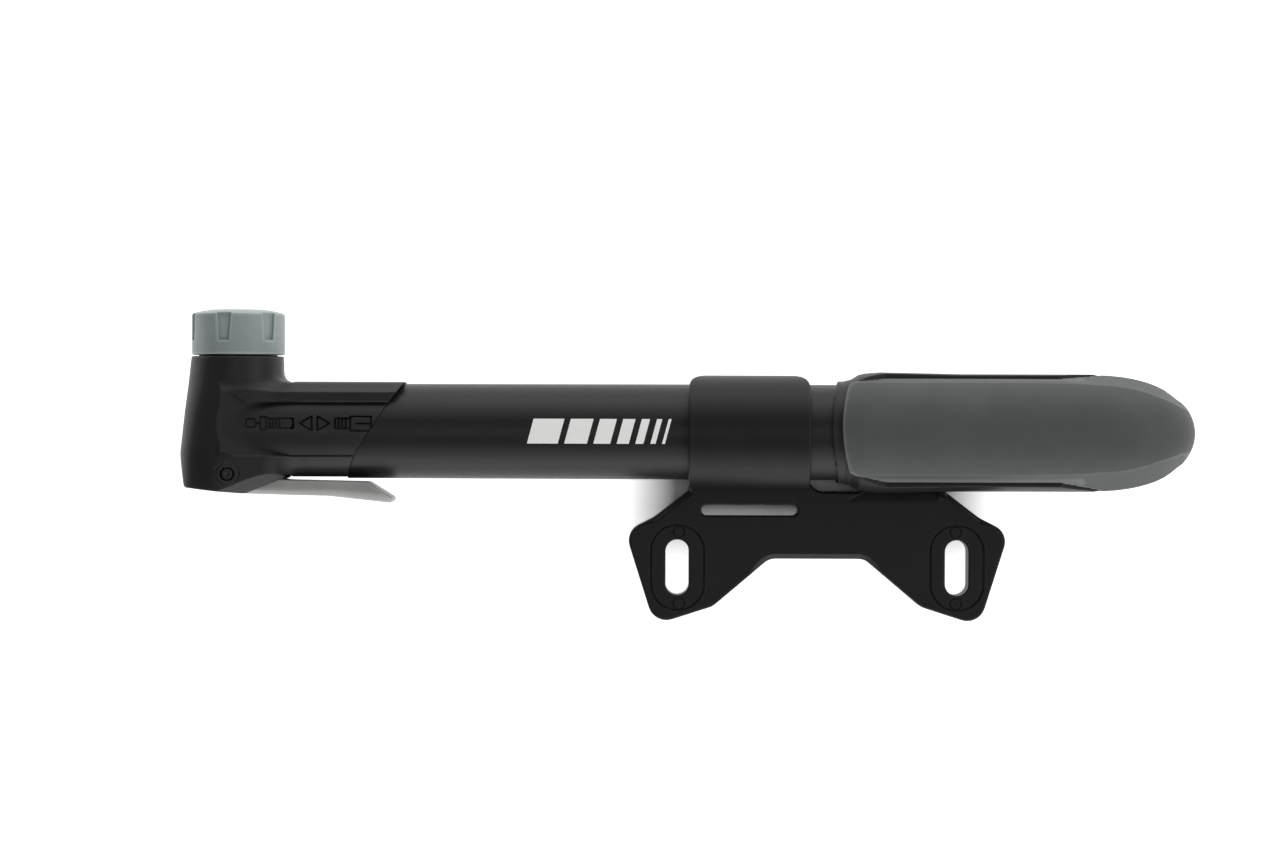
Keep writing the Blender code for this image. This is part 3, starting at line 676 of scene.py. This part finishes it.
def lever_outline():
    """A cam round the pin whose height grows evenly with the lever's turn, and the thumb arm."""
    steepness = CAM_RISE / (math.pi / 2)
    outline = []
    for degrees in range(90, 181, 5):
        angle = math.radians(degrees)
        height = CAM_LOW + steepness * (angle - math.pi / 2)
        outline.append((PIN[0] + height * math.cos(angle) - steepness * math.sin(angle),
                        PIN[1] + height * math.sin(angle) + steepness * math.cos(angle)))
    for degrees in range(210, 271, 10):
        angle = math.radians(degrees)
        outline.append((PIN[0] + 3.2 * math.cos(angle), PIN[1] + 3.2 * math.sin(angle)))
    lower_edge = zip(*ARM_LOWER_EDGE, (4, 12, 0.9))
    arm = [*lower_edge, (36.1, -15.4, 0.7), (29.9, -11.5, 2), (12.0, -11.15, 4), (5.0, -10.3, 3)]
    start = (*outline[-1], 0)
    end = (PIN[0] + 1.8, PIN[1] + CAM_LOW, 0)
    return outline + rounded([start, *arm, end])[1:]


LEVER_OUTLINE = lever_outline()


def lever_field(x, y, z):
    tall = np.abs(z)
    body = meet(polygon(x, y, LEVER_OUTLINE), tall - LEVER_HALF_Z, 0.5)
    sideways = np.maximum(tall - LEVER_HALF_Z + TIP_ROUND_R, 0)
    tip = np.hypot(np.maximum(x - TIP_START_X, 0), sideways) - TIP_ROUND_R
    body = meet(body, tip, 0.3)
    above_edge = y - np.interp(x, *ARM_LOWER_EDGE)
    round_r = 2.3 + 0.06 * np.clip(x - 12.0, 0, 22)
    below = np.minimum(above_edge - round_r + 0.3, 0) * 1.15
    lower = np.hypot(below, np.maximum(tall - LEVER_HALF_Z + round_r, 0)) - round_r
    body = meet(body, lower, 0.3)
    return carve(body, np.hypot(x - PIN[0], y - PIN[1]) - PIN_R - CLEARANCE, 0.2)


def build_lever(materials):
    grid = (
        spaced(-8.0, 37.0, 0.25),
        spaced(-17.5, -5.8, 0.25),
        spaced(-8.0, 8.0, 0.25),
    )
    mesh = sculpt("lever_shell", lever_field, grid, 50000)
    put("lever_shell", mesh, materials["lever"], "lever", ["lock_lever"])


# ---- barrel and rod ----
def build_barrel(materials):
    """A tube whose shoulder follows the slanted end of the head's sleeve."""
    steps = 144
    edge = 0.06
    end_x, end_y = zip(*sleeve_end(SHOULDER_GAP))
    sections = []
    for i in range(steps):
        angle = math.tau * i / steps
        shoulder = np.interp(BARREL_R * math.sin(angle), end_y, end_x)
        profile = [
            (BARREL_START_X, BARREL_BORE_R),
            (BARREL_START_X, SPIGOT_R - edge),
            (BARREL_START_X + edge, SPIGOT_R),
            (shoulder, SPIGOT_R),
            (shoulder, BARREL_FRONT_R - edge),
            (shoulder + edge, BARREL_FRONT_R),
            (shoulder + edge + 4.0, BARREL_FRONT_R),
            (BARREL_FULL_X, BARREL_REAR_R),
            (BARREL_RING_X, BARREL_REAR_R),
            (BARREL_END_X - edge, BARREL_REAR_R),
            (BARREL_END_X, BARREL_REAR_R - edge),
            (BARREL_END_X, BARREL_BORE_R),
        ]
        sections.append([(x, r * math.sin(angle), r * math.cos(angle)) for x, r in profile])
    mesh = ring_grid("barrel_tube", np.array(sections))
    put("barrel_tube", mesh, materials["barrel"], "pump_body", ["barrel"])


def build_rod(materials):
    low, high = pump_box("piston_rod")
    start_x = low[0]
    end_x = high[0]
    rod_r = high[2]
    edge = 0.3
    screw_hole_r = 1.55
    screw_hole_x = end_x - 10
    profile = [
        (start_x, AXIS_R),
        (start_x, rod_r - edge),
        (start_x + edge, rod_r),
        (end_x - edge, rod_r),
        (end_x, rod_r - edge),
        (end_x, screw_hole_r),
        (screw_hole_x, screw_hole_r),
        (screw_hole_x, AXIS_R),
    ]
    rod = lathe("piston_rod_bar", profile)
    put("piston_rod_bar", rod, materials["steel"], "piston_slide", ["piston_rod"])

    low, high = pump_box("rod_guide")
    inner = rod_r + CLEARANCE
    plug_r = BARREL_BORE_R - CLEARANCE
    flange_r = high[2]
    flange_x = BARREL_END_X + CLEARANCE
    profile = rounded([
        (low[0], inner, 0.3),
        (low[0], plug_r, 0.3),
        (flange_x, plug_r, 0),
        (flange_x, flange_r, 0.3),
        (high[0], flange_r, 0.5),
        (high[0], 6.2, 0.3),
        (high[0] - 0.6, 5.4, 0.3),
        (high[0] - 0.6, inner, 0.3),
    ])
    guide = lathe("rod_guide_ring", profile)
    put("rod_guide_ring", guide, materials["barrel_end"], "pump_body", ["rod_guide"])


# ---- handle ----
RAIL_PROFILE = [
    (138.2, 11.2), (138.2, 11.7), (139.4, 11.95), (140.3, 12.45), (141.4, 13.15), (143.0, 13.5),
    (146.4, 13.75), (152.0, 13.65), (165.0, 13.4), (195.0, 13.4), (198.0, 12.9), (198.0, 11.2),
]
GRIP_FRONT = ((130.0, 136.5, 142.0), (12.9, 13.0, GRIP_R))
NOSE_START_X = 190.0
NOSE_POWER = 2.9
GRIP_BEVELS = [  # along, tilt in degrees, distance of the bevel's plane
    (180.0, 19.1, 12.70), (194.0, 21.2, 12.6), (200.0, 22.75, 12.33), (204.0, 24.3, 11.74),
    (207.7, 25.3, 10.7), (211.4, 24.6, 9.07), (214.0, 22.2, 7.4), (217.1, 22.0, 4.8), (218.2, 22.0, 2.8),
]


def rail_outline(grow=0.0):
    """The side rail's outline along X and Z: a wide front and a pointed rear end."""
    upper = [
        (138.2 - grow, 8.6 + grow),
        (147.5, RAIL_HALF_Z + 0.2 + grow),
        (187.0 + grow, RAIL_HALF_Z + grow),
        (196.5 + grow * 2, 0.5 + grow),
    ]
    return upper + [(x, -z) for x, z in reversed(upper)]


RAIL_OUTLINE = rail_outline()
RAIL_SLOT = rail_outline(0.12)


def core_field(x, y, z):
    radius = np.hypot(y, z)
    places = (138.2, 139.0, CORE_FLOOR_X - 1.0, CORE_END_X)
    tube_r = np.interp(x, places, (LIP_R, CORE_R, CORE_R, CORE_END_R))
    tube = meet(meet(radius - tube_r, CORE_BORE_R - radius), x - CORE_FLOOR_X - 1.0)
    floor = meet(radius - tube_r, np.abs(x - (CORE_FLOOR_X + CORE_END_X) / 2) - 2.5, 0.3)
    floor = carve(floor, radius - ROD_HOLE_R)
    core = join(tube, floor)
    rail = meet(polygon(x, radius, RAIL_PROFILE), polygon(x, z, RAIL_OUTLINE), 0.15)
    core = join(core, rail, 0.15)
    edge = LIP_X + 1.75 * (y / LIP_R) ** 2 - x
    return meet(core, edge, 0.35)


def grip_field(x, y, z):
    radius = np.hypot(y, z)
    along, tilts, reaches = np.array(GRIP_BEVELS).T
    tilt = np.radians(curve(x, along, tilts))
    bevel = np.cos(tilt) * np.abs(y) + np.sin(tilt) * np.abs(z) - curve(x, along, reaches)
    nose = np.maximum((x - NOSE_START_X) / (NOSE_X - NOSE_START_X), 0) ** NOSE_POWER
    crown = np.interp(x, *GRIP_FRONT)
    grip = meet((np.sqrt((radius / crown) ** 2 + nose) - 1) * crown, bevel, 0.06)
    inner_r = np.interp(x, (CORE_FLOOR_X - 1.0, CORE_END_X), (GRIP_INNER_R, 10.8))
    inside = meet(radius - inner_r, x - CORE_END_X - 0.3, 0.3)
    grip = carve(grip, inside)
    slot = meet(polygon(x, z, RAIL_SLOT), 8.0 - np.abs(y))
    grip = carve(grip, slot, 0.15)
    edge = LIP_X + 2.3 + 1.85 * (y / 10.4) ** 2 - x
    return meet(grip, edge, 0.35)


def build_handle(materials):
    core_grid = (spaced(133.5, 199.5, 0.35), spaced(-14.3, 14.3, 0.35), spaced(-14.3, 14.3, 0.35))
    core = sculpt("handle_core_shell", core_field, core_grid, 70000, HANDLE_TURN)
    put("handle_core_shell", core, materials["core"], "handle", ["handle_core"])
    grip_grid = (spaced(136.0, 219.5, 0.4), spaced(-14.0, 14.0, 0.4), spaced(-14.0, 14.0, 0.4))
    grip = sculpt("handle_grip_shell", grip_field, grip_grid, 80000, HANDLE_TURN)
    put("handle_grip_shell", grip, materials["grip"], "handle", ["handle_grip"])


# ---- frame bracket ----
def plate_outline():
    """The bone-shaped plate seen from the front, with the clip's root and the tongue's root."""
    ear = [(37.3, -19.55, 8), (43.97, -22.89, 4), (37.2, -44.25, 4.2), (23.83, -39.95, 5),
           (10.9, -29.0, 4)]
    right = [(PLATE_CENTER_X + x, y, r) for x, y, r in ear]
    left = [(PLATE_CENTER_X - x, y, r) for x, y, r in reversed(ear)]
    neck_left = PLATE_CENTER_X - 29.5
    window = [(neck_left, -13.4, 0), (neck_left, -7.5, 0), (CLIP_END_X, -7.5, 0),
              (CLIP_END_X, -13.6, 3.7), (161.75, -13.6, 0)]
    return rounded(window + right + left)


PLATE_OUTLINE = plate_outline()
UPPER_EDGES = [(102.7, -13.8, 94.95, -19.55), (161.75, -13.8, 169.5, -19.55)]
ARCH_EDGE = [(119.5, -29.8, 123.0, -28.8), (123.0, -28.8, 141.5, -28.8),
             (141.5, -28.8, 145.0, -29.8)]


def clip_field(x, y, z, radius):
    turn = np.arctan2(y, z)
    band = np.maximum(radius - CLIP_OUTER_R, CLIP_INNER_R - radius)
    middle = (CLIP_START_X + CLIP_END_X) / 2
    half = (CLIP_END_X - CLIP_START_X) / 2
    beyond = turn * CLIP_OUTER_R - (CLIP_WRAP * CLIP_OUTER_R - CLIP_CORNER_R)
    sideways = np.abs(x - middle) - (half - CLIP_CORNER_R)
    inside = np.minimum(np.maximum(beyond, sideways), 0)
    outline = np.hypot(np.maximum(beyond, 0), np.maximum(sideways, 0)) + inside - CLIP_CORNER_R
    outline = meet(outline, (-CLIP_WRAP - turn) * CLIP_OUTER_R)
    return meet(band, outline, 0.45)


def tongue_field(x, y, z, radius):
    turn = np.arctan2(y, z)
    arc = (np.abs(turn - TONGUE_TURN) - TONGUE_HALF_TURN) * 15
    band = np.abs(radius - TONGUE_R) - 0.95
    width = np.abs(x - TONGUE_X) - 2.1
    return meet(meet(band, width, 0.3), arc, 0.3)


def bracket_field(x, y, z):
    radius = np.hypot(y, z)
    side = polygon(x, y, PLATE_OUTLINE)
    flange = 1.25 * np.clip(1.1 - strokes(x, y, UPPER_EDGES) / 4.0, 0, 1)
    arch = 1.15 * np.clip(1.35 - strokes(x, y, ARCH_EDGE) / 3.5, 0, 1)
    bevel = np.maximum(np.maximum(flange, arch), 0.35)
    front = z - PLATE_FRONT_Z
    plate = meet(meet(side, front), PLATE_BACK_Z - z, 0.2)
    plate = meet(plate, (side + front + bevel) * 0.7071, 0.15)
    bracket = join(plate, clip_field(x, y, z, radius), 0.25)
    bracket = carve(bracket, meet(radius - CLIP_INNER_R, x - 131.5), 0.2)
    bracket = join(bracket, tongue_field(x, y, z, radius), 0.4)

    scoop = -front * math.cos(SCOOP_TILT) - (y + 15.9) * math.sin(SCOOP_TILT)
    scoop_start = (137.9 + (y + 16.1) * 2.06 - x) / 2.29
    scoop = meet(meet(scoop, scoop_start, 0.2), x - 160.5, 1.5)
    bracket = carve(bracket, meet(scoop, 12.9 - np.abs(y)), 0.1)

    for side_sign in (-1, 1):
        center = (PLATE_CENTER_X + side_sign * EAR_PITCH / 2, EAR_SLOT_Y)
        ring = racetrack(x, y, center, EAR_PAD)
        pad = meet(ring, -0.12 - front)
        bracket = carve(bracket, pad, 0.05)
        groove = meet(np.abs(ring) - 0.16, -0.4 - front)
        bracket = carve(bracket, groove, 0.1)
        for lift in (-EJECTOR_LIFT, EJECTOR_LIFT):
            from_mark = np.hypot(x - center[0] + 0.3 * side_sign, y - center[1] - lift)
            mark = np.abs(from_mark - EJECTOR_R) - 0.12
            bracket = carve(bracket, meet(mark, -0.32 - front), 0.05)
        bracket = carve(bracket, racetrack(x, y, center, EAR_SLOT), 0.45)
    return carve(bracket, racetrack(x, y, STRAP_SLOT_CENTER, STRAP_SLOT), 0.4)


def build_bracket(materials):
    grid = (
        spaced(87.6, 177.2, 0.35, (97.0, 103.5, 0.17), (161.0, 167.5, 0.17)),
        spaced(-44.6, 13.4, 0.35, (-41.2, -37.0, 0.17), (-25.0, -20.8, 0.17)),
        spaced(-16.5, 13.5, 0.35, (-7.3, -2.6, 0.2)),
    )
    mesh = sculpt("bracket_shell", bracket_field, grid, 85000)
    put("bracket_shell", mesh, materials["bracket"], "bracket", ["frame_bracket"])


# ---- materials ----
def linear(red, green, blue):
    """A light colour given as it looks on screen, from 0 to 255."""
    return tuple(((v / 255 + 0.055) / 1.055) ** 2.4 for v in (red, green, blue))


def new_material(name):
    material = bpy.data.materials.new(name)
    material.use_nodes = True
    return material, material.node_tree, material.node_tree.nodes["Principled BSDF"]


def noise(tree, where, scale, detail=3.0, stretch=(1, 1, 1)):
    mapping = tree.nodes.new("ShaderNodeMapping")
    mapping.inputs["Scale"].default_value = stretch
    tree.links.new(where, mapping.inputs["Vector"])
    node = tree.nodes.new("ShaderNodeTexNoise")
    node.inputs["Scale"].default_value = scale
    node.inputs["Detail"].default_value = detail
    tree.links.new(mapping.outputs["Vector"], node.inputs["Vector"])
    return node.outputs["Fac"]


def remap(tree, value, low, high, to_low, to_high):
    node = tree.nodes.new("ShaderNodeMapRange")
    node.inputs["From Min"].default_value = low
    node.inputs["From Max"].default_value = high
    node.inputs["To Min"].default_value = to_low
    node.inputs["To Max"].default_value = to_high
    tree.links.new(value, node.inputs["Value"])
    return node.outputs["Result"]


def mixed(tree, share, first, second):
    """A mix of two colours, each a plain colour or another node's output."""
    node = tree.nodes.new("ShaderNodeMix")
    node.data_type = "RGBA"
    tree.links.new(share, node.inputs["Factor"])
    for socket, color in ((node.inputs[6], first), (node.inputs[7], second)):
        if isinstance(color, tuple):
            socket.default_value = (*color, 1)
        else:
            tree.links.new(color, socket)
    return node.outputs[2]


def add_bump(tree, shader, height, strength, depth):
    """Lets a pattern raise the surface by up to depth millimetres."""
    bump = tree.nodes.new("ShaderNodeBump")
    bump.inputs["Strength"].default_value = strength
    bump.inputs["Distance"].default_value = depth * MM
    tree.links.new(height, bump.inputs["Height"])
    tree.links.new(bump.outputs["Normal"], shader.inputs["Normal"])


def plastic(name, color, roughness, grain=1800.0, grain_height=0.01, mottle=0.12, edge_wear_and_highlight=0.15,
            stretch=(1, 1, 1), specular=0.5):
    """Moulded plastic: a fine grain in the surface, soft mottling, and sharp edges painted lighter,
    partly as rubbed wear and mostly as a painted highlight.
    """
    material, tree, shader = new_material(name)
    where = tree.nodes.new("ShaderNodeTexCoord").outputs["Object"]
    cloud = noise(tree, where, 110.0, 4.0, stretch)
    fine = noise(tree, where, grain, 2.0, stretch)
    dark = tuple(v * (1 - mottle) for v in color)
    light = tuple(v * (1 + mottle) for v in color)
    base = mixed(tree, remap(tree, cloud, 0.3, 0.7, 0, 1), dark, light)
    edge = tree.nodes.new("ShaderNodeAttribute")
    edge.attribute_name = "edge"
    # Sharp edges get a lighter colour: partly rubbed wear, mostly a painted highlight.
    edge_wear_and_highlight_share = remap(tree, edge.outputs["Fac"], 0.12, 0.7, 0, edge_wear_and_highlight)
    edge_wear_and_highlight_color = tuple(min(v * 1.7 + 0.02, 1) for v in color)
    base = mixed(tree, edge_wear_and_highlight_share, base, edge_wear_and_highlight_color)
    tree.links.new(base, shader.inputs["Base Color"])
    gloss = remap(tree, fine, 0.3, 0.7, roughness - 0.05, roughness + 0.05)
    tree.links.new(gloss, shader.inputs["Roughness"])
    shader.inputs["Specular IOR Level"].default_value = specular
    add_bump(tree, shader, fine, 0.5, grain_height)
    return material


def brushed_steel(name, color, roughness):
    """Bare metal with fine turned lines along X."""
    material, tree, shader = new_material(name)
    where = tree.nodes.new("ShaderNodeTexCoord").outputs["Object"]
    lines = noise(tree, where, 900.0, 3.0, (0.04, 1, 1))
    base = mixed(tree, lines, tuple(v * 0.85 for v in color), color)
    tree.links.new(base, shader.inputs["Base Color"])
    gloss = remap(tree, lines, 0.3, 0.7, roughness - 0.08, roughness + 0.1)
    tree.links.new(gloss, shader.inputs["Roughness"])
    shader.inputs["Metallic"].default_value = 1.0
    add_bump(tree, shader, lines, 0.4, 0.004)
    return material


def math_node(tree, operation, first, second):
    node = tree.nodes.new("ShaderNodeMath")
    node.operation = operation
    for socket, value in zip(node.inputs, (first, second)):
        if isinstance(value, (int, float)):
            socket.default_value = value
        else:
            tree.links.new(value, socket)
    return node.outputs["Value"]


PRINT_START_X = 66.9
PRINT_LENGTH = 33.6
PRINT_Y = 0.1
PRINT_HALF_HEIGHT = 2.8
PRINT_LEAN = 0.27
BAR_WIDTHS = (0.205, 0.15, 0.11, 0.08, 0.055, 0.035, 0.02)  # as shares of the length
BAR_GAP = 0.045


def printed_barrel(name, color):
    """Satin tube with a printed row of slanted bars that get narrower towards the handle."""
    material = plastic(name, color, 0.42, grain=2600.0, grain_height=0.004, mottle=0.08,
                       stretch=(0.3, 1, 1), specular=0.28)
    tree = material.node_tree
    shader = tree.nodes["Principled BSDF"]
    where = tree.nodes.new("ShaderNodeTexCoord").outputs["Object"]
    parts = tree.nodes.new("ShaderNodeSeparateXYZ")
    tree.links.new(where, parts.inputs["Vector"])
    x, y, z = parts.outputs
    middle_y = (ORIGIN[1] + PRINT_Y) * MM
    start_x = (ORIGIN[0] + PRINT_START_X) * MM
    across = math_node(tree, "SUBTRACT", y, middle_y)
    slant = math_node(tree, "MULTIPLY", across, PRINT_LEAN)
    along = math_node(tree, "SUBTRACT", math_node(tree, "SUBTRACT", x, slant), start_x)
    bars = tree.nodes.new("ShaderNodeValToRGB")
    bars.color_ramp.interpolation = "CONSTANT"
    stops = bars.color_ramp.elements
    stops[0].position = 0.0
    stops[0].color = (1, 1, 1, 1)
    place = 0.0
    for i, width in enumerate(BAR_WIDTHS):
        off = stops[1] if i == 0 else stops.new(place + width)
        off.position = place + width
        off.color = (0, 0, 0, 1)
        if i < len(BAR_WIDTHS) - 1:
            on = stops.new(place + width + BAR_GAP)
            on.color = (1, 1, 1, 1)
        place += width + BAR_GAP
    tree.links.new(math_node(tree, "DIVIDE", along, PRINT_LENGTH * MM), bars.inputs["Fac"])
    height = math_node(tree, "ABSOLUTE", across, 0.0)
    in_height = math_node(tree, "LESS_THAN", height, PRINT_HALF_HEIGHT * MM)
    started = math_node(tree, "GREATER_THAN", along, 0.0)
    on_front = math_node(tree, "GREATER_THAN", z, ORIGIN[2] * MM)
    share = math_node(tree, "MULTIPLY", math_node(tree, "MULTIPLY", in_height, started),
                      math_node(tree, "MULTIPLY", on_front, bars.outputs["Color"]))
    paint = shader.inputs["Base Color"].links[0].from_socket
    ink = mixed(tree, share, paint, linear(250, 250, 248))
    tree.links.new(ink, shader.inputs["Base Color"])
    return material


def make_materials():
    black = (0.0112, 0.0106, 0.0103)
    head_black = (0.0135, 0.0127, 0.0125)
    core_black = (0.0095, 0.0091, 0.0096)
    bracket_black = (0.0078, 0.0075, 0.0077)
    cap_grey = (0.262, 0.302, 0.298)
    lever_grey = (0.285, 0.292, 0.282)
    grip_grey = (0.079, 0.0855, 0.082)
    return {
        "head": plastic("head_satin_black", head_black, 0.44, specular=0.28),
        "barrel": printed_barrel("barrel_satin_black", black),
        "barrel_end": plastic("barrel_end_black", black, 0.5, specular=0.28),
        "core": plastic("core_satin_black", core_black, 0.46, specular=0.28),
        "bracket": plastic("bracket_matte_black", bracket_black, 0.46, grain=2200.0,
                           grain_height=0.012, edge_wear_and_highlight=0.1, specular=0.24),
        "cap": plastic("cap_satin_grey", cap_grey, 0.45, edge_wear_and_highlight=0.35),
        "lever": plastic("lever_satin_pale", lever_grey, 0.42, edge_wear_and_highlight=0.2),
        "grip": plastic("grip_soft_grey", grip_grey, 0.6, grain=1500.0, grain_height=0.014,
                        mottle=0.06, edge_wear_and_highlight=0.75, specular=0.28),
        "nylon": plastic("nylon_natural", (0.62, 0.62, 0.58), 0.5),
        "rubber": plastic("rubber_black", (0.018, 0.018, 0.018), 0.7, grain_height=0.02),
        "steel": brushed_steel("rod_steel", (0.62, 0.62, 0.61), 0.24),
        "dark_steel": brushed_steel("pin_steel", (0.05, 0.05, 0.05), 0.45),
    }


HIDDEN_PARTS = {
    "rubber": ["barrel_o_ring", "check_valve_poppet", "piston_cup", "plunger_o_ring",
               "stroke_bumper"],
    "nylon": ["check_valve_seat", "piston_head", "plunger", "slip_washer"],
    "steel": ["piston_retainer", "rod_screw", "rod_washer", "valve_pin"],
}


def dress_hidden_parts(materials):
    """The small inner parts keep their CAD meshes and get the finished materials."""
    for kind, nodes in HIDDEN_PARTS.items():
        for node in nodes:
            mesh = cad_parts[node].data
            for i in range(len(mesh.materials)):
                mesh.materials[i] = materials[kind]


def build_yielding_part(node, material):
    """A copy of an inner part, with a mesh of its own, that stands for it."""
    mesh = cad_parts[node].data.copy()
    mesh.materials.clear()
    piece = put(node + "_yielding", mesh, material, "pump_body", [node])
    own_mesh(piece)


def build_yielding_parts(materials):
    """Copies of the grommet, which the plunger presses together, and of the check valve's spring, which
    the poppet presses.
    """
    build_yielding_part("valve_grommet", materials["rubber"])
    build_yielding_part("check_valve_spring", materials["steel"])


# ---- surroundings ----
SKY_STRENGTH = 3.3
TABLE_GLOW = 0.95
# The painted shadow under the bracket: its middle, half sizes and fade, in millimetres.
SHADOW_MIDDLE = ORIGIN + np.array((131.0, -9.5, 0.0))
SHADOW_HALF = (31.0, 7.5)
SHADOW_FADE = 12.0
TABLE_HALF = 1.6


def build_table():
    """A white light table that glows as a lamp does. Its glow fades out in a patch under the bracket: a
    painted soft shadow.
    """
    material, tree, shader = new_material("table_white")
    where = tree.nodes.new("ShaderNodeTexCoord").outputs["Object"]
    tint = mixed(tree, noise(tree, where, 6.0), (0.83, 0.83, 0.83), (0.88, 0.88, 0.88))
    tree.links.new(tint, shader.inputs["Base Color"])
    shader.inputs["Roughness"].default_value = 0.9
    shader.inputs["Specular IOR Level"].default_value = 0.1
    parts = tree.nodes.new("ShaderNodeSeparateXYZ")
    tree.links.new(where, parts.inputs["Vector"])
    # The glow drops to nothing in a rounded box round the bracket: a painted shadow on the table.
    squares = []
    for side, middle, half in zip(parts.outputs, SHADOW_MIDDLE, SHADOW_HALF):
        offset = math_node(tree, "SUBTRACT", side, float(middle) * MM)
        away = math_node(tree, "ABSOLUTE", offset, 0.0)
        outside = math_node(tree, "SUBTRACT", away, half * MM)
        outside = math_node(tree, "MAXIMUM", outside, 0.0)
        squares.append(math_node(tree, "MULTIPLY", outside, outside))
    distance = math_node(tree, "SQRT", math_node(tree, "ADD", *squares), 0.0)
    glow_and_painted_shadow = remap(tree, distance, 0.0, SHADOW_FADE * MM, 0.0, TABLE_GLOW)
    tree.links.new(glow_and_painted_shadow, shader.inputs["Emission Strength"])
    shader.inputs["Emission Color"].default_value = (1, 1, 1, 1)
    mesh = bpy.data.meshes.new("table")
    corners = [(x * TABLE_HALF, y * TABLE_HALF, 0) for x, y in ((-1, -1), (1, -1), (1, 1), (-1, 1))]
    mesh.from_pydata(corners, [], [(0, 1, 2, 3)])
    mesh.materials.append(material)
    table = bpy.data.objects.new("table", mesh)
    bpy.context.scene.collection.objects.link(table)


def level_ramp(tree, value, levels):
    """A grey level that changes smoothly with a value from 0 to 1."""
    ramp = tree.nodes.new("ShaderNodeValToRGB")
    ramp.color_ramp.interpolation = "EASE"
    stops = ramp.color_ramp.elements
    while len(stops) < len(levels):
        stops.new(0.5)
    for stop, (place, level) in zip(stops, levels):
        stop.position = place
        stop.color = (level, level, level, 1)
    tree.links.new(value, ramp.inputs["Fac"])
    return ramp.outputs["Color"]


def build_sky():
    """A dark room with a light wall along each side of the pump, dimmer ones at its ends and a
    small light straight above. The side walls are narrower on the valve head's half of the room.
    The ramps run from the horizon, 0, to the zenith, 1."""
    world = bpy.data.worlds.new("studio")
    world.use_nodes = True
    bpy.context.scene.world = world
    tree = world.node_tree
    where = tree.nodes.new("ShaderNodeTexCoord").outputs["Generated"]
    parts = tree.nodes.new("ShaderNodeSeparateXYZ")
    tree.links.new(where, parts.inputs["Vector"])
    x, y, z = parts.outputs
    x_square = math_node(tree, "MULTIPLY", x, x)
    y_square = math_node(tree, "MULTIPLY", y, y)
    total = math_node(tree, "ADD", math_node(tree, "ADD", x_square, y_square), 0.0001)
    sideways = math_node(tree, "DIVIDE", y_square, total)
    narrowing = remap(tree, x, -0.5, 0.5, 8.0, 1.0)
    sideways = math_node(tree, "POWER", sideways, narrowing)
    overhead = [(0.86, 0.0), (0.97, 0.0), (1.0, 0.75)]
    walls = level_ramp(tree, z, [(0.0, 1.0), (0.25, 0.9), (0.45, 0.55), (0.7, 0.45), *overhead])
    ends = level_ramp(tree, z, [(0.0, 0.01), (0.45, 0.06), (0.7, 0.1), *overhead])
    background = tree.nodes["Background"]
    tree.links.new(mixed(tree, sideways, ends, walls), background.inputs["Color"])
    background.inputs["Strength"].default_value = SKY_STRENGTH


def add_softbox(name, place, target, size, power):
    light = bpy.data.lights.new(name, "AREA")
    light.shape = "RECTANGLE"
    light.size, light.size_y = size
    light.energy = power
    thing = bpy.data.objects.new(name, light)
    bpy.context.scene.collection.objects.link(thing)
    thing.location = place
    thing.rotation_euler = (Vector(target) - Vector(place)).to_track_quat("-Z", "Y").to_euler()


CAMERA_PLACE = (91.63, 1.21, 865.0)
CAMERA_ROLL = math.radians(0.19)
CAMERA_LENS = 106.65


def build_camera():
    """Straight above the pump, a little off its middle."""
    data = bpy.data.cameras.new("camera")
    data.lens = CAMERA_LENS
    data.clip_end = 10.0
    camera = bpy.data.objects.new("camera", data)
    bpy.context.scene.collection.objects.link(camera)
    camera.location = [float(v) * MM for v in ORIGIN + np.array(CAMERA_PLACE)]
    camera.rotation_euler = (0, 0, CAMERA_ROLL)
    bpy.context.scene.camera = camera


def main():
    bpy.context.scene.view_settings.view_transform = "Standard"
    materials = make_materials()
    build_head(materials)
    build_cap(materials)
    build_lever(materials)
    build_barrel(materials)
    build_rod(materials)
    build_handle(materials)
    build_bracket(materials)
    dress_hidden_parts(materials)
    build_yielding_parts(materials)
    build_table()
    build_sky()
    add_softbox("side_light", (0.85, 0.0, 0.85), (0, 0, 0), (0.7, 0.7), 2.6)
    build_camera()


main()
